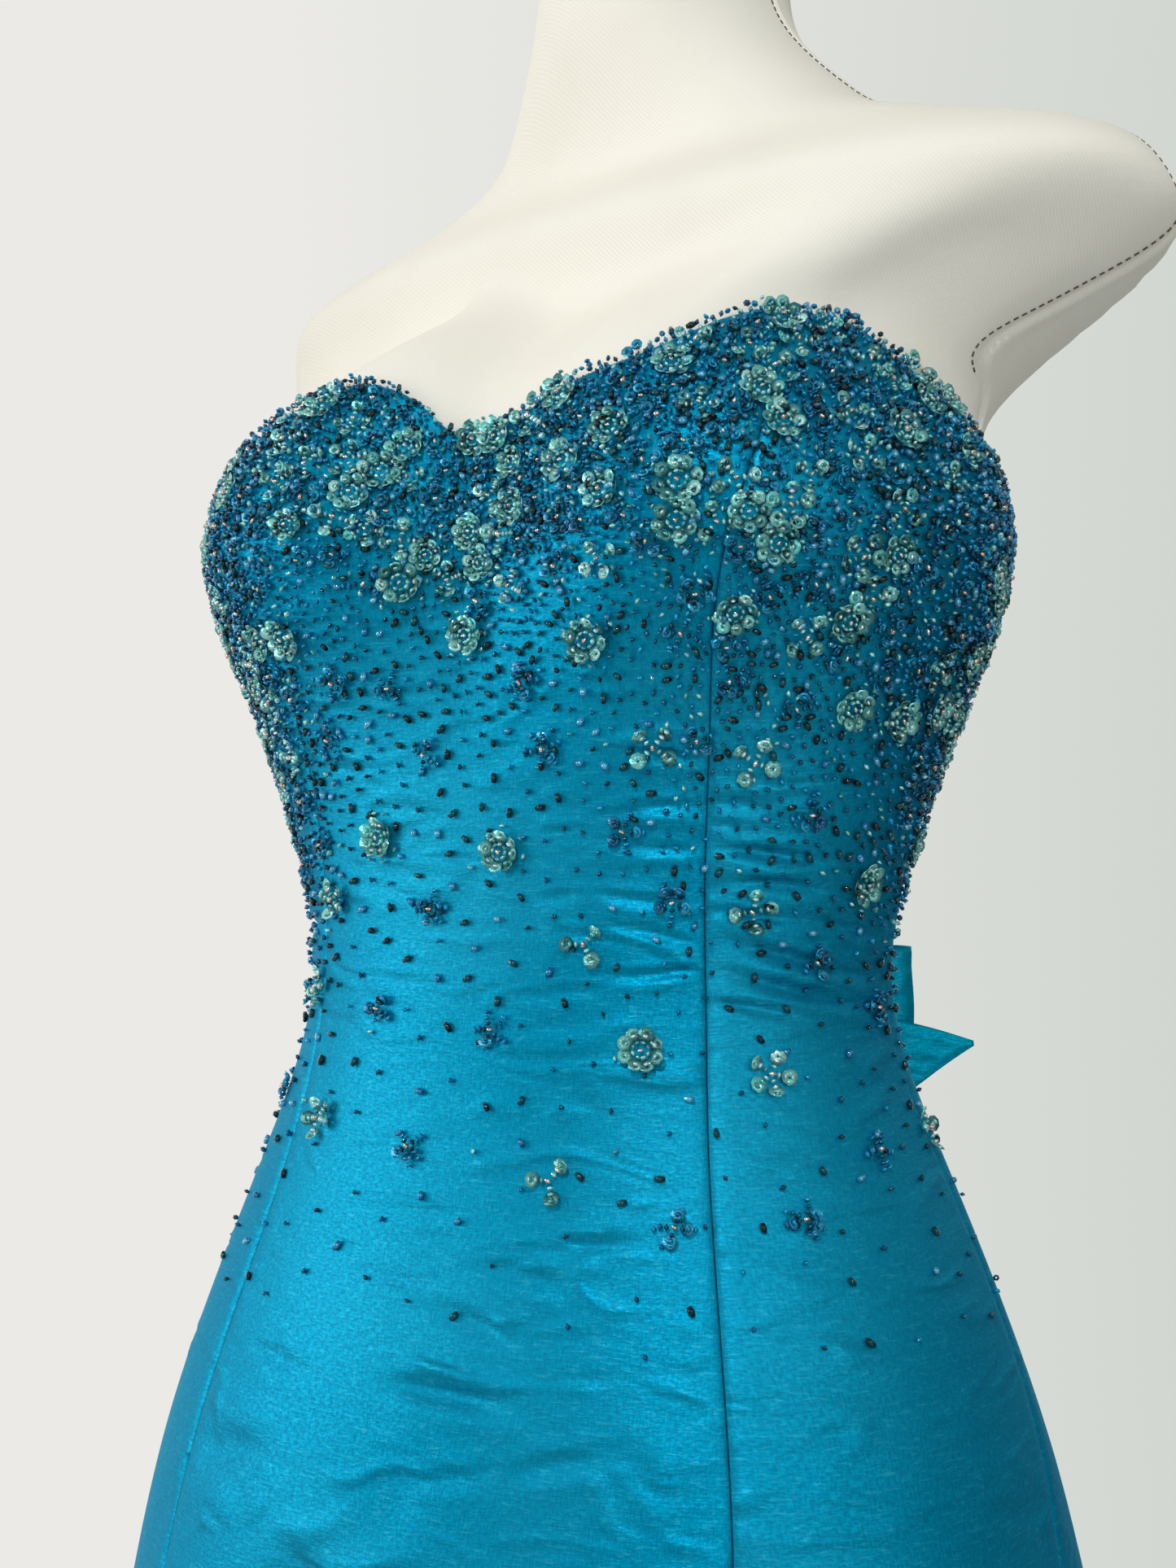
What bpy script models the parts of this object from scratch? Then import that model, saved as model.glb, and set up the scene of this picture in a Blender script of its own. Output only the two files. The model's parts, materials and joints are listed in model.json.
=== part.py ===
"""A strapless floor-length evening dress on a limbless dress form, with its stand.

The origin is the centre of the stand's underside on the floor. +Z is up, the front of
the dress faces -Y, and +X is the wearer's left. All sizes are in metres.
"""

import math
from collections import namedtuple

import bmesh
import bpy
import numpy as np
from mathutils import Matrix, Vector

# Driving dimensions
WAIST_HEIGHT = 1.060
HEM_BELOW_WAIST = 1.045
CLOTH = 0.002
SEAM_GAP = 0.0003
SEAT_GAP = 0.0003
FORM_CLEARANCE = 0.0005
SECTION_ROUNDNESS = 2.25
SEAM_SEARCH_STEPS = 12
NORMAL_TURN = 0.5
NORMAL_RISE = 0.002

# The body of the dress, one row for each level, measured from the waist and from the axis
Section = namedtuple("Section", "above_waist half_width front_depth back_depth")
DRESS_SECTIONS = (
    Section(0.300, 0.108, 0.074, 0.090),
    Section(0.240, 0.126, 0.077, 0.088),
    Section(0.195, 0.151, 0.080, 0.086),
    Section(0.155, 0.158, 0.082, 0.083),
    Section(0.110, 0.144, 0.084, 0.078),
    Section(0.060, 0.125, 0.085, 0.074),
    Section(0.000, 0.115, 0.088, 0.073),
    Section(-0.060, 0.134, 0.099, 0.087),
    Section(-0.115, 0.156, 0.116, 0.104),
    Section(-0.170, 0.174, 0.132, 0.117),
    Section(-0.250, 0.190, 0.147, 0.132),
    Section(-0.450, 0.228, 0.185, 0.176),
    Section(-0.750, 0.286, 0.246, 0.254),
    Section(-HEM_BELOW_WAIST, 0.340, 0.305, 0.335),
)

# Each bust cup is a round rise on the sections
CUP_RISE = 0.0343
CUP_ANGLE = 44.4
CUP_HALF_ANGLE = 18.9
CUP_ABOVE_WAIST = 0.174
CUP_HALF_HEIGHT = 0.041

# The skirt's flutes: where each one runs, how far it stands out at the hem, how wide it is
# and how far below the waist it begins. Angles go from the centre front towards the wearer's left.
Flute = namedtuple("Flute", "angle rise half_angle begins_below")
FLUTES = (
    Flute(-33, 0.040, 8.5, 0.110),
    Flute(-4, 0.030, 8.0, 0.300),
    Flute(27, 0.048, 9.0, 0.200),
    Flute(60, 0.036, 8.5, 0.270),
    Flute(91, 0.052, 9.0, 0.180),
    Flute(121, 0.038, 9.0, 0.240),
    Flute(151, 0.054, 9.5, 0.160),
    Flute(-178, 0.042, 9.5, 0.200),
    Flute(-146, 0.056, 9.5, 0.150),
    Flute(-113, 0.036, 8.5, 0.250),
    Flute(-82, 0.050, 9.0, 0.190),
    Flute(-58, 0.024, 7.0, 0.330),
)
FLUTE_GROWTH = 1.3

# The top edge of the dress, which sits a little turned and lower on the wearer's right
EdgePoint = namedtuple("EdgePoint", "angle above_waist")
TOP_EDGE = (
    EdgePoint(-180, 0.155),
    EdgePoint(-130, 0.160),
    EdgePoint(-108, 0.171),
    EdgePoint(-92, 0.184),
    EdgePoint(-78, 0.194),
    EdgePoint(-65, 0.200),
    EdgePoint(-54, 0.206),
    EdgePoint(-44, 0.2155),
    EdgePoint(-34, 0.2225),
    EdgePoint(-24, 0.2200),
    EdgePoint(-15, 0.2110),
    EdgePoint(-7, 0.2005),
    EdgePoint(2, 0.2010),
    EdgePoint(12, 0.2045),
    EdgePoint(24, 0.2125),
    EdgePoint(35, 0.2180),
    EdgePoint(45, 0.2260),
    EdgePoint(55, 0.2340),
    EdgePoint(65, 0.2350),
    EdgePoint(74, 0.2310),
    EdgePoint(80, 0.2190),
    EdgePoint(86, 0.2070),
    EdgePoint(95, 0.1900),
    EdgePoint(110, 0.1720),
    EdgePoint(130, 0.1600),
    EdgePoint(180, 0.1550),
)

# The seams, as the angle that each one has at each level
SeamPoint = namedtuple("SeamPoint", "above_waist angle")
PRINCESS_SEAM = (
    SeamPoint(0.235, 62.0),
    SeamPoint(0.215, 57.0),
    SeamPoint(0.188, 51.4),
    SeamPoint(0.144, 46.8),
    SeamPoint(0.100, 48.5),
    SeamPoint(0.040, 49.7),
    SeamPoint(0.000, 49.9),
    SeamPoint(-0.041, 48.5),
    SeamPoint(-0.090, 47.1),
    SeamPoint(-0.166, 45.5),
    SeamPoint(-0.250, 43.0),
    SeamPoint(-0.500, 40.0),
    SeamPoint(-HEM_BELOW_WAIST, 38.0),
)
SIDE_SEAM = (
    SeamPoint(0.210, 93.0),
    SeamPoint(0.000, 94.0),
    SeamPoint(-0.070, 96.5),
    SeamPoint(-0.130, 96.5),
    SeamPoint(-0.190, 90.5),
    SeamPoint(-0.300, 88.0),
    SeamPoint(-HEM_BELOW_WAIST, 88.0),
)
CENTRE_BACK = 180.0

# Rows and columns of points on the walls
SKIRT_LEVELS = (-1.045, -0.960, -0.860, -0.760, -0.660, -0.560, -0.470, -0.390, -0.320, -0.265)
HIP_LEVELS = (-0.215, -0.175, -0.138, -0.103, -0.070, -0.040, -0.013, 0.013, 0.040, 0.070, 0.100)
BODICE_ROWS = 6
FRONT_COLUMNS = 14
SIDE_FRONT_COLUMNS = 6
BACK_COLUMNS = 11

# The form above the dress: its outline at each level about an axis that leans back to the neck.
# The dress sits a little turned on it, so the form's shoulders are turned to the wearer's right.
FORM_TURN = 12.0
FormSection = namedtuple("FormSection", "above_waist half_width front_depth back_depth centre_back")
FORM_SECTIONS = (
    FormSection(0.190, 0.163, 0.080, 0.083, 0.020),
    FormSection(0.240, 0.203, 0.076, 0.075, 0.036),
    FormSection(0.262, 0.216, 0.074, 0.070, 0.044),
    FormSection(0.278, 0.2145, 0.072, 0.067, 0.041),
    FormSection(0.292, 0.205, 0.069, 0.062, 0.040),
    FormSection(0.305, 0.184, 0.066, 0.055, 0.051),
    FormSection(0.316, 0.155, 0.063, 0.052, 0.059),
    FormSection(0.330, 0.106, 0.060, 0.052, 0.058),
    FormSection(0.346, 0.079, 0.058, 0.053, 0.052),
    FormSection(0.372, 0.056, 0.054, 0.054, 0.042),
    FormSection(0.410, 0.046, 0.053, 0.053, 0.041),
    FormSection(0.450, 0.046, 0.053, 0.053, 0.042),
)
SHOULDER_LEVELS = (0.256, 0.270, 0.280, 0.289, 0.296, 0.303, 0.309, 0.315, 0.322, 0.330, 0.340, 0.354)
NECK_LEVELS = (0.372, 0.395, 0.422, 0.446, 0.450)
NECK_EDGE_INSET = 0.005
FORM_ROUNDNESS = 2.1
FORM_BLEND_HEIGHT = 0.045
FORM_BLEND_ROWS = 4
FORM_TORSO_TOP = 0.260
FORM_BOTTOM_BAND = 0.005

# The stand
BASE_RADIUS = 0.180
BASE_THICKNESS = 0.010
BASE_EDGE = 0.002
COLLAR_RADIUS = 0.024
COLLAR_HEIGHT = 0.030
POLE_RADIUS = 0.0125
FLANGE_RADIUS = 0.040
FLANGE_THICKNESS = 0.005
ROUND_SIDES = 40
ROD_SIDES = 16
MERGE_DISTANCE = 0.00001

# The bow at the back of the waist
BOW_HEIGHT = WAIST_HEIGHT - 0.010
KNOT_WIDTH = 0.026
KNOT_HEIGHT = 0.034
KNOT_DEPTH = 0.024
KNOT_ROUNDING = 0.0048
KNOT_TURNS = (0, 4, 8)
LOOP_REACH = 0.088
LOOP_WIDTH = 0.048
TAIL_REACH = 0.113

# The zip's slider and pull tab at the top of the centre-back seam
SLIDER_BELOW_EDGE = 0.004
SLIDER_WIDTH = 0.008
SLIDER_HEIGHT = 0.011
SLIDER_DEPTH = 0.0032
SLIDER_BEVEL = 0.0007
SLIDER_TURNS = (0, 3)
EAR_THICKNESS = 0.0012
PIN_RADIUS = 0.0008
EYE_CLEARANCE = 0.0003
EYE_WALL = 0.0013
EYE_WIDTH = 0.0024
TAB_NECK = 0.0045
TAB_LENGTH = 0.024
TAB_WIDTH = 0.0066
TAB_THICKNESS = 0.0012
TAB_END_STEPS = 10


def clear_scene():
    """Removes whatever the file opened with."""
    for thing in list(bpy.data.objects):
        bpy.data.objects.remove(thing)


def linear(code):
    """Turns an sRGB hex colour into the linear values a shader wants."""
    channels = [int(code[i : i + 2], 16) / 255 for i in (0, 2, 4)]
    return [c / 12.92 if c <= 0.04045 else ((c + 0.055) / 1.055) ** 2.4 for c in channels] + [1.0]


def make_material(name, code, roughness, metallic=0.0):
    """A plain surface with one colour."""
    material = bpy.data.materials.new(name)
    material.use_nodes = True
    shader = material.node_tree.nodes["Principled BSDF"]
    shader.inputs["Base Color"].default_value = linear(code)
    shader.inputs["Roughness"].default_value = roughness
    shader.inputs["Metallic"].default_value = metallic
    return material


def smooth_curve(places, values):
    """A natural cubic spline through a column of a table, as a function of the place."""
    order = np.argsort(places)
    x = np.asarray(places, float)[order]
    y = np.asarray(values, float)[order]
    gap = np.diff(x)
    slope = np.diff(y) / gap
    count = len(x)
    matrix = np.eye(count)
    right = np.zeros(count)
    for i in range(1, count - 1):
        matrix[i, i - 1 : i + 2] = gap[i - 1], 2 * (gap[i - 1] + gap[i]), gap[i]
        right[i] = 6 * (slope[i] - slope[i - 1])
    bend = np.linalg.solve(matrix, right)

    def at(place):
        p = float(min(max(place, x[0]), x[-1]))
        i = int(min(max(np.searchsorted(x, p) - 1, 0), count - 2))
        a, b, h = x[i + 1] - p, p - x[i], gap[i]
        curve = (bend[i] * a**3 + bend[i + 1] * b**3) / (6 * h)
        return curve + (y[i] / h - bend[i] * h / 6) * a + (y[i + 1] / h - bend[i + 1] * h / 6) * b

    return at


def columns_of(table):
    """One smooth curve for each column of a table after its first."""
    places = [row[0] for row in table]
    return [smooth_curve(places, column) for column in list(zip(*table))[1:]]


half_width, front_depth, back_depth = columns_of(DRESS_SECTIONS)
form_columns = columns_of(FORM_SECTIONS)
top_edge_curve = columns_of(TOP_EDGE)[0]
princess_angle = columns_of(PRINCESS_SEAM)[0]
side_angle = columns_of(SIDE_SEAM)[0]


def bell(distance, half_size):
    """1 at the middle, falling away smoothly on both sides."""
    return math.exp(-0.5 * (distance / half_size) ** 2)


def soft_step(share):
    """Goes from 0 to 1 with level ends."""
    t = min(max(share, 0.0), 1.0)
    return t * t * (3 - 2 * t)


def turn_between(angle, other):
    """The smaller angle between two directions, in degrees."""
    return (angle - other + 180) % 360 - 180


def top_edge(angle):
    """How high the dress reaches above the waist at an angle."""
    return top_edge_curve(turn_between(angle, 0))


def oval_radius(angle, wide, front, back, roundness):
    """The radius of an oval with different depths at the front and the back."""
    side = math.sin(math.radians(angle))
    ahead = math.cos(math.radians(angle))
    depth = front if ahead > 0 else back
    total = abs(side / wide) ** roundness + abs(ahead / depth) ** roundness
    return total ** (-1 / roundness)


def flute_rise(level, angle):
    """How far the skirt's flutes stand out from its plain cone."""
    rise = 0.0
    for flute in FLUTES:
        drop = (-level - flute.begins_below) / (HEM_BELOW_WAIST - flute.begins_below)
        if drop > 0:
            rise += flute.rise * drop**FLUTE_GROWTH * bell(turn_between(angle, flute.angle), flute.half_angle)
    return rise


def dress_radius(level, angle):
    """The outer surface of the cloth, as a distance from the axis."""
    wide, front, back = half_width(level), front_depth(level), back_depth(level)
    radius = oval_radius(angle, wide, front, back, SECTION_ROUNDNESS)
    cup_share = bell(level - CUP_ABOVE_WAIST, CUP_HALF_HEIGHT)
    for side in (-1, 1):
        radius += CUP_RISE * cup_share * bell(turn_between(angle, side * CUP_ANGLE), CUP_HALF_ANGLE)
    return radius + flute_rise(level, angle)


def place(radius, angle, level, centre_back=0.0):
    """A point at a distance and an angle round the axis."""
    turn = math.radians(angle)
    return Vector((radius * math.sin(turn), centre_back - radius * math.cos(turn), WAIST_HEIGHT + level))


def cloth_point(level, angle, inward=0.0):
    """A point on the cloth, or moved in from it along the surface's normal."""
    here = place(dress_radius(level, angle), angle, level)
    if not inward:
        return here
    along = cloth_point(level, angle + NORMAL_TURN) - cloth_point(level, angle - NORMAL_TURN)
    up = cloth_point(level + NORMAL_RISE, angle) - cloth_point(level - NORMAL_RISE, angle)
    normal = along.cross(up).normalized()
    return here - normal * inward


def row_level(row, angle):
    """The height of a row of points: level rows up to the midriff, then shares of the way to the top edge."""
    level_rows = SKIRT_LEVELS + HIP_LEVELS
    if row < len(level_rows):
        return level_rows[row]
    share = (row - len(level_rows) + 1) / BODICE_ROWS
    return level_rows[-1] + share * (top_edge(angle) - level_rows[-1])


CLOTH_ROWS = len(SKIRT_LEVELS) + len(HIP_LEVELS) + BODICE_ROWS


def seam_place(seam, row, side):
    """The angle of a seam on a row, on the wearer's left (1) or right (-1)."""
    angle = side * seam(0.0)
    for _ in range(SEAM_SEARCH_STEPS):
        angle = side * seam(row_level(row, angle))
    return angle


def panel_angles(row, first_seam, last_seam, columns):
    """The angles of one row's points, from one seam to the next."""
    first = first_seam(row)
    last = last_seam(row)
    return [first + (last - first) * i / columns for i in range(columns + 1)]


def left_princess(row):
    return seam_place(princess_angle, row, 1)


def left_side(row):
    return seam_place(side_angle, row, 1)


def right_princess(row):
    return seam_place(princess_angle, row, -1)


def right_side(row):
    return seam_place(side_angle, row, -1)


def centre_back_left(row):
    return CENTRE_BACK


def centre_back_right(row):
    return -CENTRE_BACK


PANELS = {
    "front_centre_panel": (right_princess, left_princess, FRONT_COLUMNS),
    "side_front_left": (left_princess, left_side, SIDE_FRONT_COLUMNS),
    "side_front_right": (right_side, right_princess, SIDE_FRONT_COLUMNS),
    "back_left": (left_side, centre_back_left, BACK_COLUMNS),
    "back_right": (centre_back_right, right_side, BACK_COLUMNS),
}


def add_object(name, mesh, material):
    """Puts a finished mesh in the scene as a named object."""
    mesh.materials.append(material)
    thing = bpy.data.objects.new(name, mesh)
    bpy.context.scene.collection.objects.link(thing)
    return thing


def shade(mesh, sharp_angle=35):
    """Shades a mesh smooth but for its real edges."""
    mesh.shade_smooth()
    mesh.set_sharp_from_angle(angle=math.radians(sharp_angle))


def triangle_pair(corners):
    """Two triangles of a four-sided face, always cut along the same diagonal."""
    a, b, c, d = corners
    return [(a, b, c), (a, c, d)]


def wall_mesh(name, outer, inner):
    """A closed wall between two grids of points, each a list of rows."""
    rows, columns = len(outer), len(outer[0])
    points = [p for grid in (outer, inner) for row in grid for p in row]
    inside = rows * columns
    faces = []

    def at(row, column, side):
        return side * inside + row * columns + column

    for r in range(rows - 1):
        for c in range(columns - 1):
            quad = (at(r, c, 0), at(r, c + 1, 0), at(r + 1, c + 1, 0), at(r + 1, c, 0))
            faces += triangle_pair(quad)
            faces += [tuple(reversed([i + inside for i in t])) for t in triangle_pair(quad)]
    for c in range(columns - 1):
        faces += triangle_pair((at(0, c + 1, 0), at(0, c, 0), at(0, c, 1), at(0, c + 1, 1)))
        top = rows - 1
        faces += triangle_pair((at(top, c, 0), at(top, c + 1, 0), at(top, c + 1, 1), at(top, c, 1)))
    for r in range(rows - 1):
        faces += triangle_pair((at(r, 0, 0), at(r + 1, 0, 0), at(r + 1, 0, 1), at(r, 0, 1)))
        end = columns - 1
        faces += triangle_pair((at(r + 1, end, 0), at(r, end, 0), at(r, end, 1), at(r + 1, end, 1)))
    mesh = bpy.data.meshes.new(name)
    mesh.from_pydata([tuple(p) for p in points], [], faces)
    mesh.update()
    shade(mesh)
    return mesh


def seam_turn(level, angle):
    """Half of the gap between two pieces, as a turn round the axis."""
    return math.degrees(SEAM_GAP / 2 / dress_radius(level, angle))


def build_panel(name, cloth):
    """One cut piece of the dress."""
    first_seam, last_seam, columns = PANELS[name]
    outer, inner = [], []
    for row in range(CLOTH_ROWS):
        angles = panel_angles(row, first_seam, last_seam, columns)
        levels = [row_level(row, angle) for angle in angles]
        angles[0] += seam_turn(levels[0], angles[0])
        angles[-1] -= seam_turn(levels[-1], angles[-1])
        outer.append([cloth_point(z, a) for z, a in zip(levels, angles)])
        inner.append([cloth_point(z, a, CLOTH) for z, a in zip(levels, angles)])
    return add_object(name, wall_mesh(name, outer, inner), cloth)


def round_angles(row):
    """All the columns of the dress on one row, once round from the centre back."""
    order = ("back_right", "side_front_right", "front_centre_panel", "side_front_left", "back_left")
    angles = []
    for name in order:
        angles += panel_angles(row, *PANELS[name])[:-1]
    return angles


def shoulder_point(level, angle):
    """The form's own surface above the dress."""
    wide, front, back, lean = [column(level) for column in form_columns]
    own_angle = angle + FORM_TURN
    point = place(oval_radius(own_angle, wide, front, back, FORM_ROUNDNESS), own_angle, level, lean)
    return Matrix.Rotation(math.radians(-FORM_TURN), 3, "Z") @ point


def form_point(level, angle):
    """The form's skin: just inside the cloth up to the top edge, then its own shape."""
    own_share = soft_step((level - top_edge(angle)) / FORM_BLEND_HEIGHT)
    depth = CLOTH + FORM_CLEARANCE
    under_cloth = cloth_point(min(level, FORM_TORSO_TOP), angle, depth)
    under_cloth.z = cloth_point(level, angle, depth).z
    if own_share <= 0:
        return under_cloth
    return under_cloth.lerp(shoulder_point(level, angle), own_share)


def build_form(jersey):
    """The limbless dress form: torso, shoulders and neck in one closed skin."""
    first_row = len(SKIRT_LEVELS) - 1
    rings = []
    for row in range(first_row, CLOTH_ROWS):
        rings.append([form_point(row_level(row, a), a) for a in round_angles(row)])
    top_angles = round_angles(CLOTH_ROWS - 1)
    for step in range(1, FORM_BLEND_ROWS):
        share = step / FORM_BLEND_ROWS
        levels = [top_edge(a) + share * (SHOULDER_LEVELS[0] - top_edge(a)) for a in top_angles]
        rings.append([form_point(z, a) for z, a in zip(levels, top_angles)])
    for level in SHOULDER_LEVELS + NECK_LEVELS:
        rings.append([form_point(level, a) for a in top_angles])
    middle = sum(rings[-1], Vector()) / len(rings[-1])
    rings[-1] = [p + (middle - p).normalized() * NECK_EDGE_INSET for p in rings[-1]]
    columns = len(rings[0])
    points = [tuple(p) for ring in rings for p in ring]
    faces = []
    for r in range(len(rings) - 1):
        for c in range(columns):
            after = (c + 1) % columns
            quad = (r * columns + c, r * columns + after, (r + 1) * columns + after, (r + 1) * columns + c)
            faces += triangle_pair(quad)
    faces.append(tuple(reversed(range(columns))))
    faces.append(tuple(range((len(rings) - 1) * columns, len(rings) * columns)))
    mesh = bpy.data.meshes.new("dress_form")
    mesh.from_pydata(points, [], faces)
    flatten_bottom(mesh)
    mesh.update()
    shade(mesh, 50)
    return add_object("dress_form", mesh, jersey)


def flatten_bottom(mesh):
    """Makes the lowest ring of the form level, so that the stand's flange seats on it."""
    lowest = min(v.co.z for v in mesh.vertices)
    bottom = WAIST_HEIGHT + SKIRT_LEVELS[-1]
    for v in mesh.vertices:
        if v.co.z < bottom + FORM_BOTTOM_BAND:
            v.co.z = min(lowest, bottom)


def turned(name, profile, material):
    """A round piece from its profile, given as radius and height from the bottom up."""
    shape = bmesh.new()
    corners = [shape.verts.new((radius, 0, height)) for radius, height in profile]
    edges = [shape.edges.new(pair) for pair in zip(corners, corners[1:])]
    bmesh.ops.spin(
        shape,
        geom=corners + edges,
        cent=(0, 0, 0),
        axis=(0, 0, 1),
        angle=2 * math.pi,
        steps=ROUND_SIDES,
        use_merge=True,
    )
    bmesh.ops.remove_doubles(shape, verts=shape.verts, dist=MERGE_DISTANCE)
    bmesh.ops.recalc_face_normals(shape, faces=shape.faces)
    mesh = bpy.data.meshes.new(name)
    shape.to_mesh(mesh)
    shape.free()
    shade(mesh)
    return add_object(name, mesh, material)


def build_stand(form, steel):
    """The base plate with its collar, and the pole with the flange that carries the form."""
    form_bottom = min(v.co.z for v in form.data.vertices)
    collar_top = BASE_THICKNESS + COLLAR_HEIGHT
    turned(
        "stand_base",
        (
            (0, 0),
            (BASE_RADIUS - BASE_EDGE, 0),
            (BASE_RADIUS, BASE_EDGE),
            (BASE_RADIUS, BASE_THICKNESS - BASE_EDGE),
            (BASE_RADIUS - BASE_EDGE, BASE_THICKNESS),
            (COLLAR_RADIUS, BASE_THICKNESS),
            (COLLAR_RADIUS, collar_top - BASE_EDGE),
            (COLLAR_RADIUS - BASE_EDGE, collar_top),
            (0, collar_top),
        ),
        steel,
    )
    flange_top = form_bottom - SEAT_GAP
    turned(
        "stand_pole",
        (
            (0, collar_top + SEAT_GAP),
            (POLE_RADIUS, collar_top + SEAT_GAP),
            (POLE_RADIUS, flange_top - FLANGE_THICKNESS),
            (FLANGE_RADIUS, flange_top - FLANGE_THICKNESS),
            (FLANGE_RADIUS, flange_top),
            (0, flange_top),
        ),
        steel,
    )


def band_mesh(name, path, across, half_widths, thickness):
    """A flat band of cloth along a path: its width lies along 'across' and its thickness beside the path."""
    outer, inner = [], []
    for i, point in enumerate(path):
        before = path[max(i - 1, 0)]
        after = path[min(i + 1, len(path) - 1)]
        along = (after - before).normalized()
        beside = along.cross(across).normalized()
        low, high = half_widths[i]
        outer.append([point + across * low + beside * thickness / 2, point + across * high + beside * thickness / 2])
        inner.append([point + across * low - beside * thickness / 2, point + across * high - beside * thickness / 2])
    return wall_mesh(name, outer, inner)


def bow_seat():
    """How far back the bow begins, just clear of the cloth of the back."""
    level = BOW_HEIGHT - WAIST_HEIGHT
    reach = KNOT_HEIGHT / 2
    cloth = [cloth_point(level + z, CENTRE_BACK - a).y for z in (-reach, 0, reach) for a in KNOT_TURNS]
    return max(cloth) + SEAT_GAP


# One loop seen from above, from its root beside the knot, out along the back and round to the root again:
# the share of the loop's reach, and how far it stands behind the seat of the bow.
LoopPoint = namedtuple("LoopPoint", "reach behind")
LOOP_PATH = (
    LoopPoint(0.15, 0.0105),
    LoopPoint(0.36, 0.0045),
    LoopPoint(0.60, 0.0060),
    LoopPoint(0.82, 0.0100),
    LoopPoint(0.95, 0.0150),
    LoopPoint(1.00, 0.0220),
    LoopPoint(0.95, 0.0285),
    LoopPoint(0.82, 0.0320),
    LoopPoint(0.60, 0.0310),
    LoopPoint(0.36, 0.0260),
    LoopPoint(0.15, 0.0165),
)
LOOP_ROOT_HEIGHT = 0.026
LOOP_FLARE = 0.5

# One tail, from the knot outwards: the share of its reach, how far it stands behind the seat, and its
# lower and upper edges below the middle of the bow. The end is cut on a slant.
TailPoint = namedtuple("TailPoint", "reach behind lower upper")
TAIL_PATH = (
    TailPoint(0.10, 0.0058, -0.012, 0.006),
    TailPoint(0.21, 0.0017, -0.020, 0.007),
    TailPoint(0.42, 0.0008, -0.029, 0.004),
    TailPoint(0.62, 0.0020, -0.035, 0.000),
    TailPoint(0.76, 0.0080, -0.036, -0.004),
    TailPoint(0.88, 0.0170, -0.026, -0.008),
    TailPoint(1.00, 0.0260, -0.0150, -0.0130),
)


def build_loop(name, side, seat, cloth):
    """One loop of the bow, an open ring of cloth that is narrower where the knot holds it."""
    path = [Vector((side * LOOP_REACH * p.reach, seat + p.behind, BOW_HEIGHT)) for p in LOOP_PATH]
    spread = [soft_step((p.reach - LOOP_PATH[0].reach) / LOOP_FLARE) for p in LOOP_PATH]
    heights = [LOOP_ROOT_HEIGHT + (LOOP_WIDTH - LOOP_ROOT_HEIGHT) * s for s in spread]
    halves = [(-h / 2, h / 2) for h in heights]
    mesh = band_mesh(name, path, Vector((0, 0, 1)), halves, CLOTH)
    return finish_bow_piece(name, mesh, side, cloth)


def build_tail(name, side, seat, cloth):
    """One tail of the bow, which leaves the knot behind the loop."""
    path = [Vector((side * TAIL_REACH * p.reach, seat + p.behind, BOW_HEIGHT)) for p in TAIL_PATH]
    edges = [(p.lower, p.upper) for p in TAIL_PATH]
    mesh = band_mesh(name, path, Vector((0, 0, 1)), edges, CLOTH)
    return finish_bow_piece(name, mesh, side, cloth)


def finish_bow_piece(name, mesh, side, cloth):
    """Turns a band's faces out, whichever side it was made on."""
    shape = bmesh.new()
    shape.from_mesh(mesh)
    bmesh.ops.recalc_face_normals(shape, faces=shape.faces)
    shape.to_mesh(mesh)
    shape.free()
    shade(mesh)
    return add_object(name, mesh, cloth)


def build_knot(seat, cloth):
    """The knot, a rounded fold of cloth over the roots of the loops and tails."""
    shape = bmesh.new()
    bmesh.ops.create_cube(shape, size=1.0)
    bmesh.ops.scale(shape, vec=(KNOT_WIDTH, KNOT_DEPTH, KNOT_HEIGHT), verts=shape.verts)
    bmesh.ops.bevel(
        shape,
        geom=shape.edges[:],
        offset=KNOT_ROUNDING,
        segments=3,
        affect="EDGES",
        profile=0.5,
    )
    bmesh.ops.translate(shape, vec=(0, seat + KNOT_DEPTH / 2, BOW_HEIGHT), verts=shape.verts)
    mesh = bpy.data.meshes.new("bow_knot")
    shape.to_mesh(mesh)
    shape.free()
    shade(mesh)
    return add_object("bow_knot", mesh, cloth)


def build_bow(cloth):
    """The tied bow on the centre-back seam."""
    seat = bow_seat()
    knot_half = KNOT_WIDTH / 2 + SEAT_GAP
    build_knot(seat, cloth)
    for name, side in (("left", 1), ("right", -1)):
        loop = build_loop("bow_loop_" + name, side, seat, cloth)
        tail = build_tail("bow_tail_" + name, side, seat, cloth)
        for piece in (loop, tail):
            keep_outside(piece, side * knot_half, side)


def keep_outside(piece, wall, side):
    """Stops a bow piece at the side of the knot."""
    for v in piece.data.vertices:
        if (v.co.x - wall) * side < 0:
            v.co.x = wall


def box_mesh(shape, low, high):
    """Adds a box between two corners to a bmesh."""
    middle = [(a + b) / 2 for a, b in zip(low, high)]
    size = [b - a for a, b in zip(low, high)]
    matrix = Matrix.Translation(middle) @ Matrix.Diagonal(size + [1.0])
    bmesh.ops.create_cube(shape, size=1.0, matrix=matrix)


def boolean_helper(name, shape):
    """A helper object for a Boolean, which isn't part of the dress."""
    bmesh.ops.recalc_face_normals(shape, faces=shape.faces)
    mesh = bpy.data.meshes.new(name)
    shape.to_mesh(mesh)
    shape.free()
    helper = bpy.data.objects.new(name, mesh)
    bpy.context.scene.collection.objects.link(helper)
    helper.hide_render = True
    helper.display_type = "WIRE"
    return helper


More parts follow.
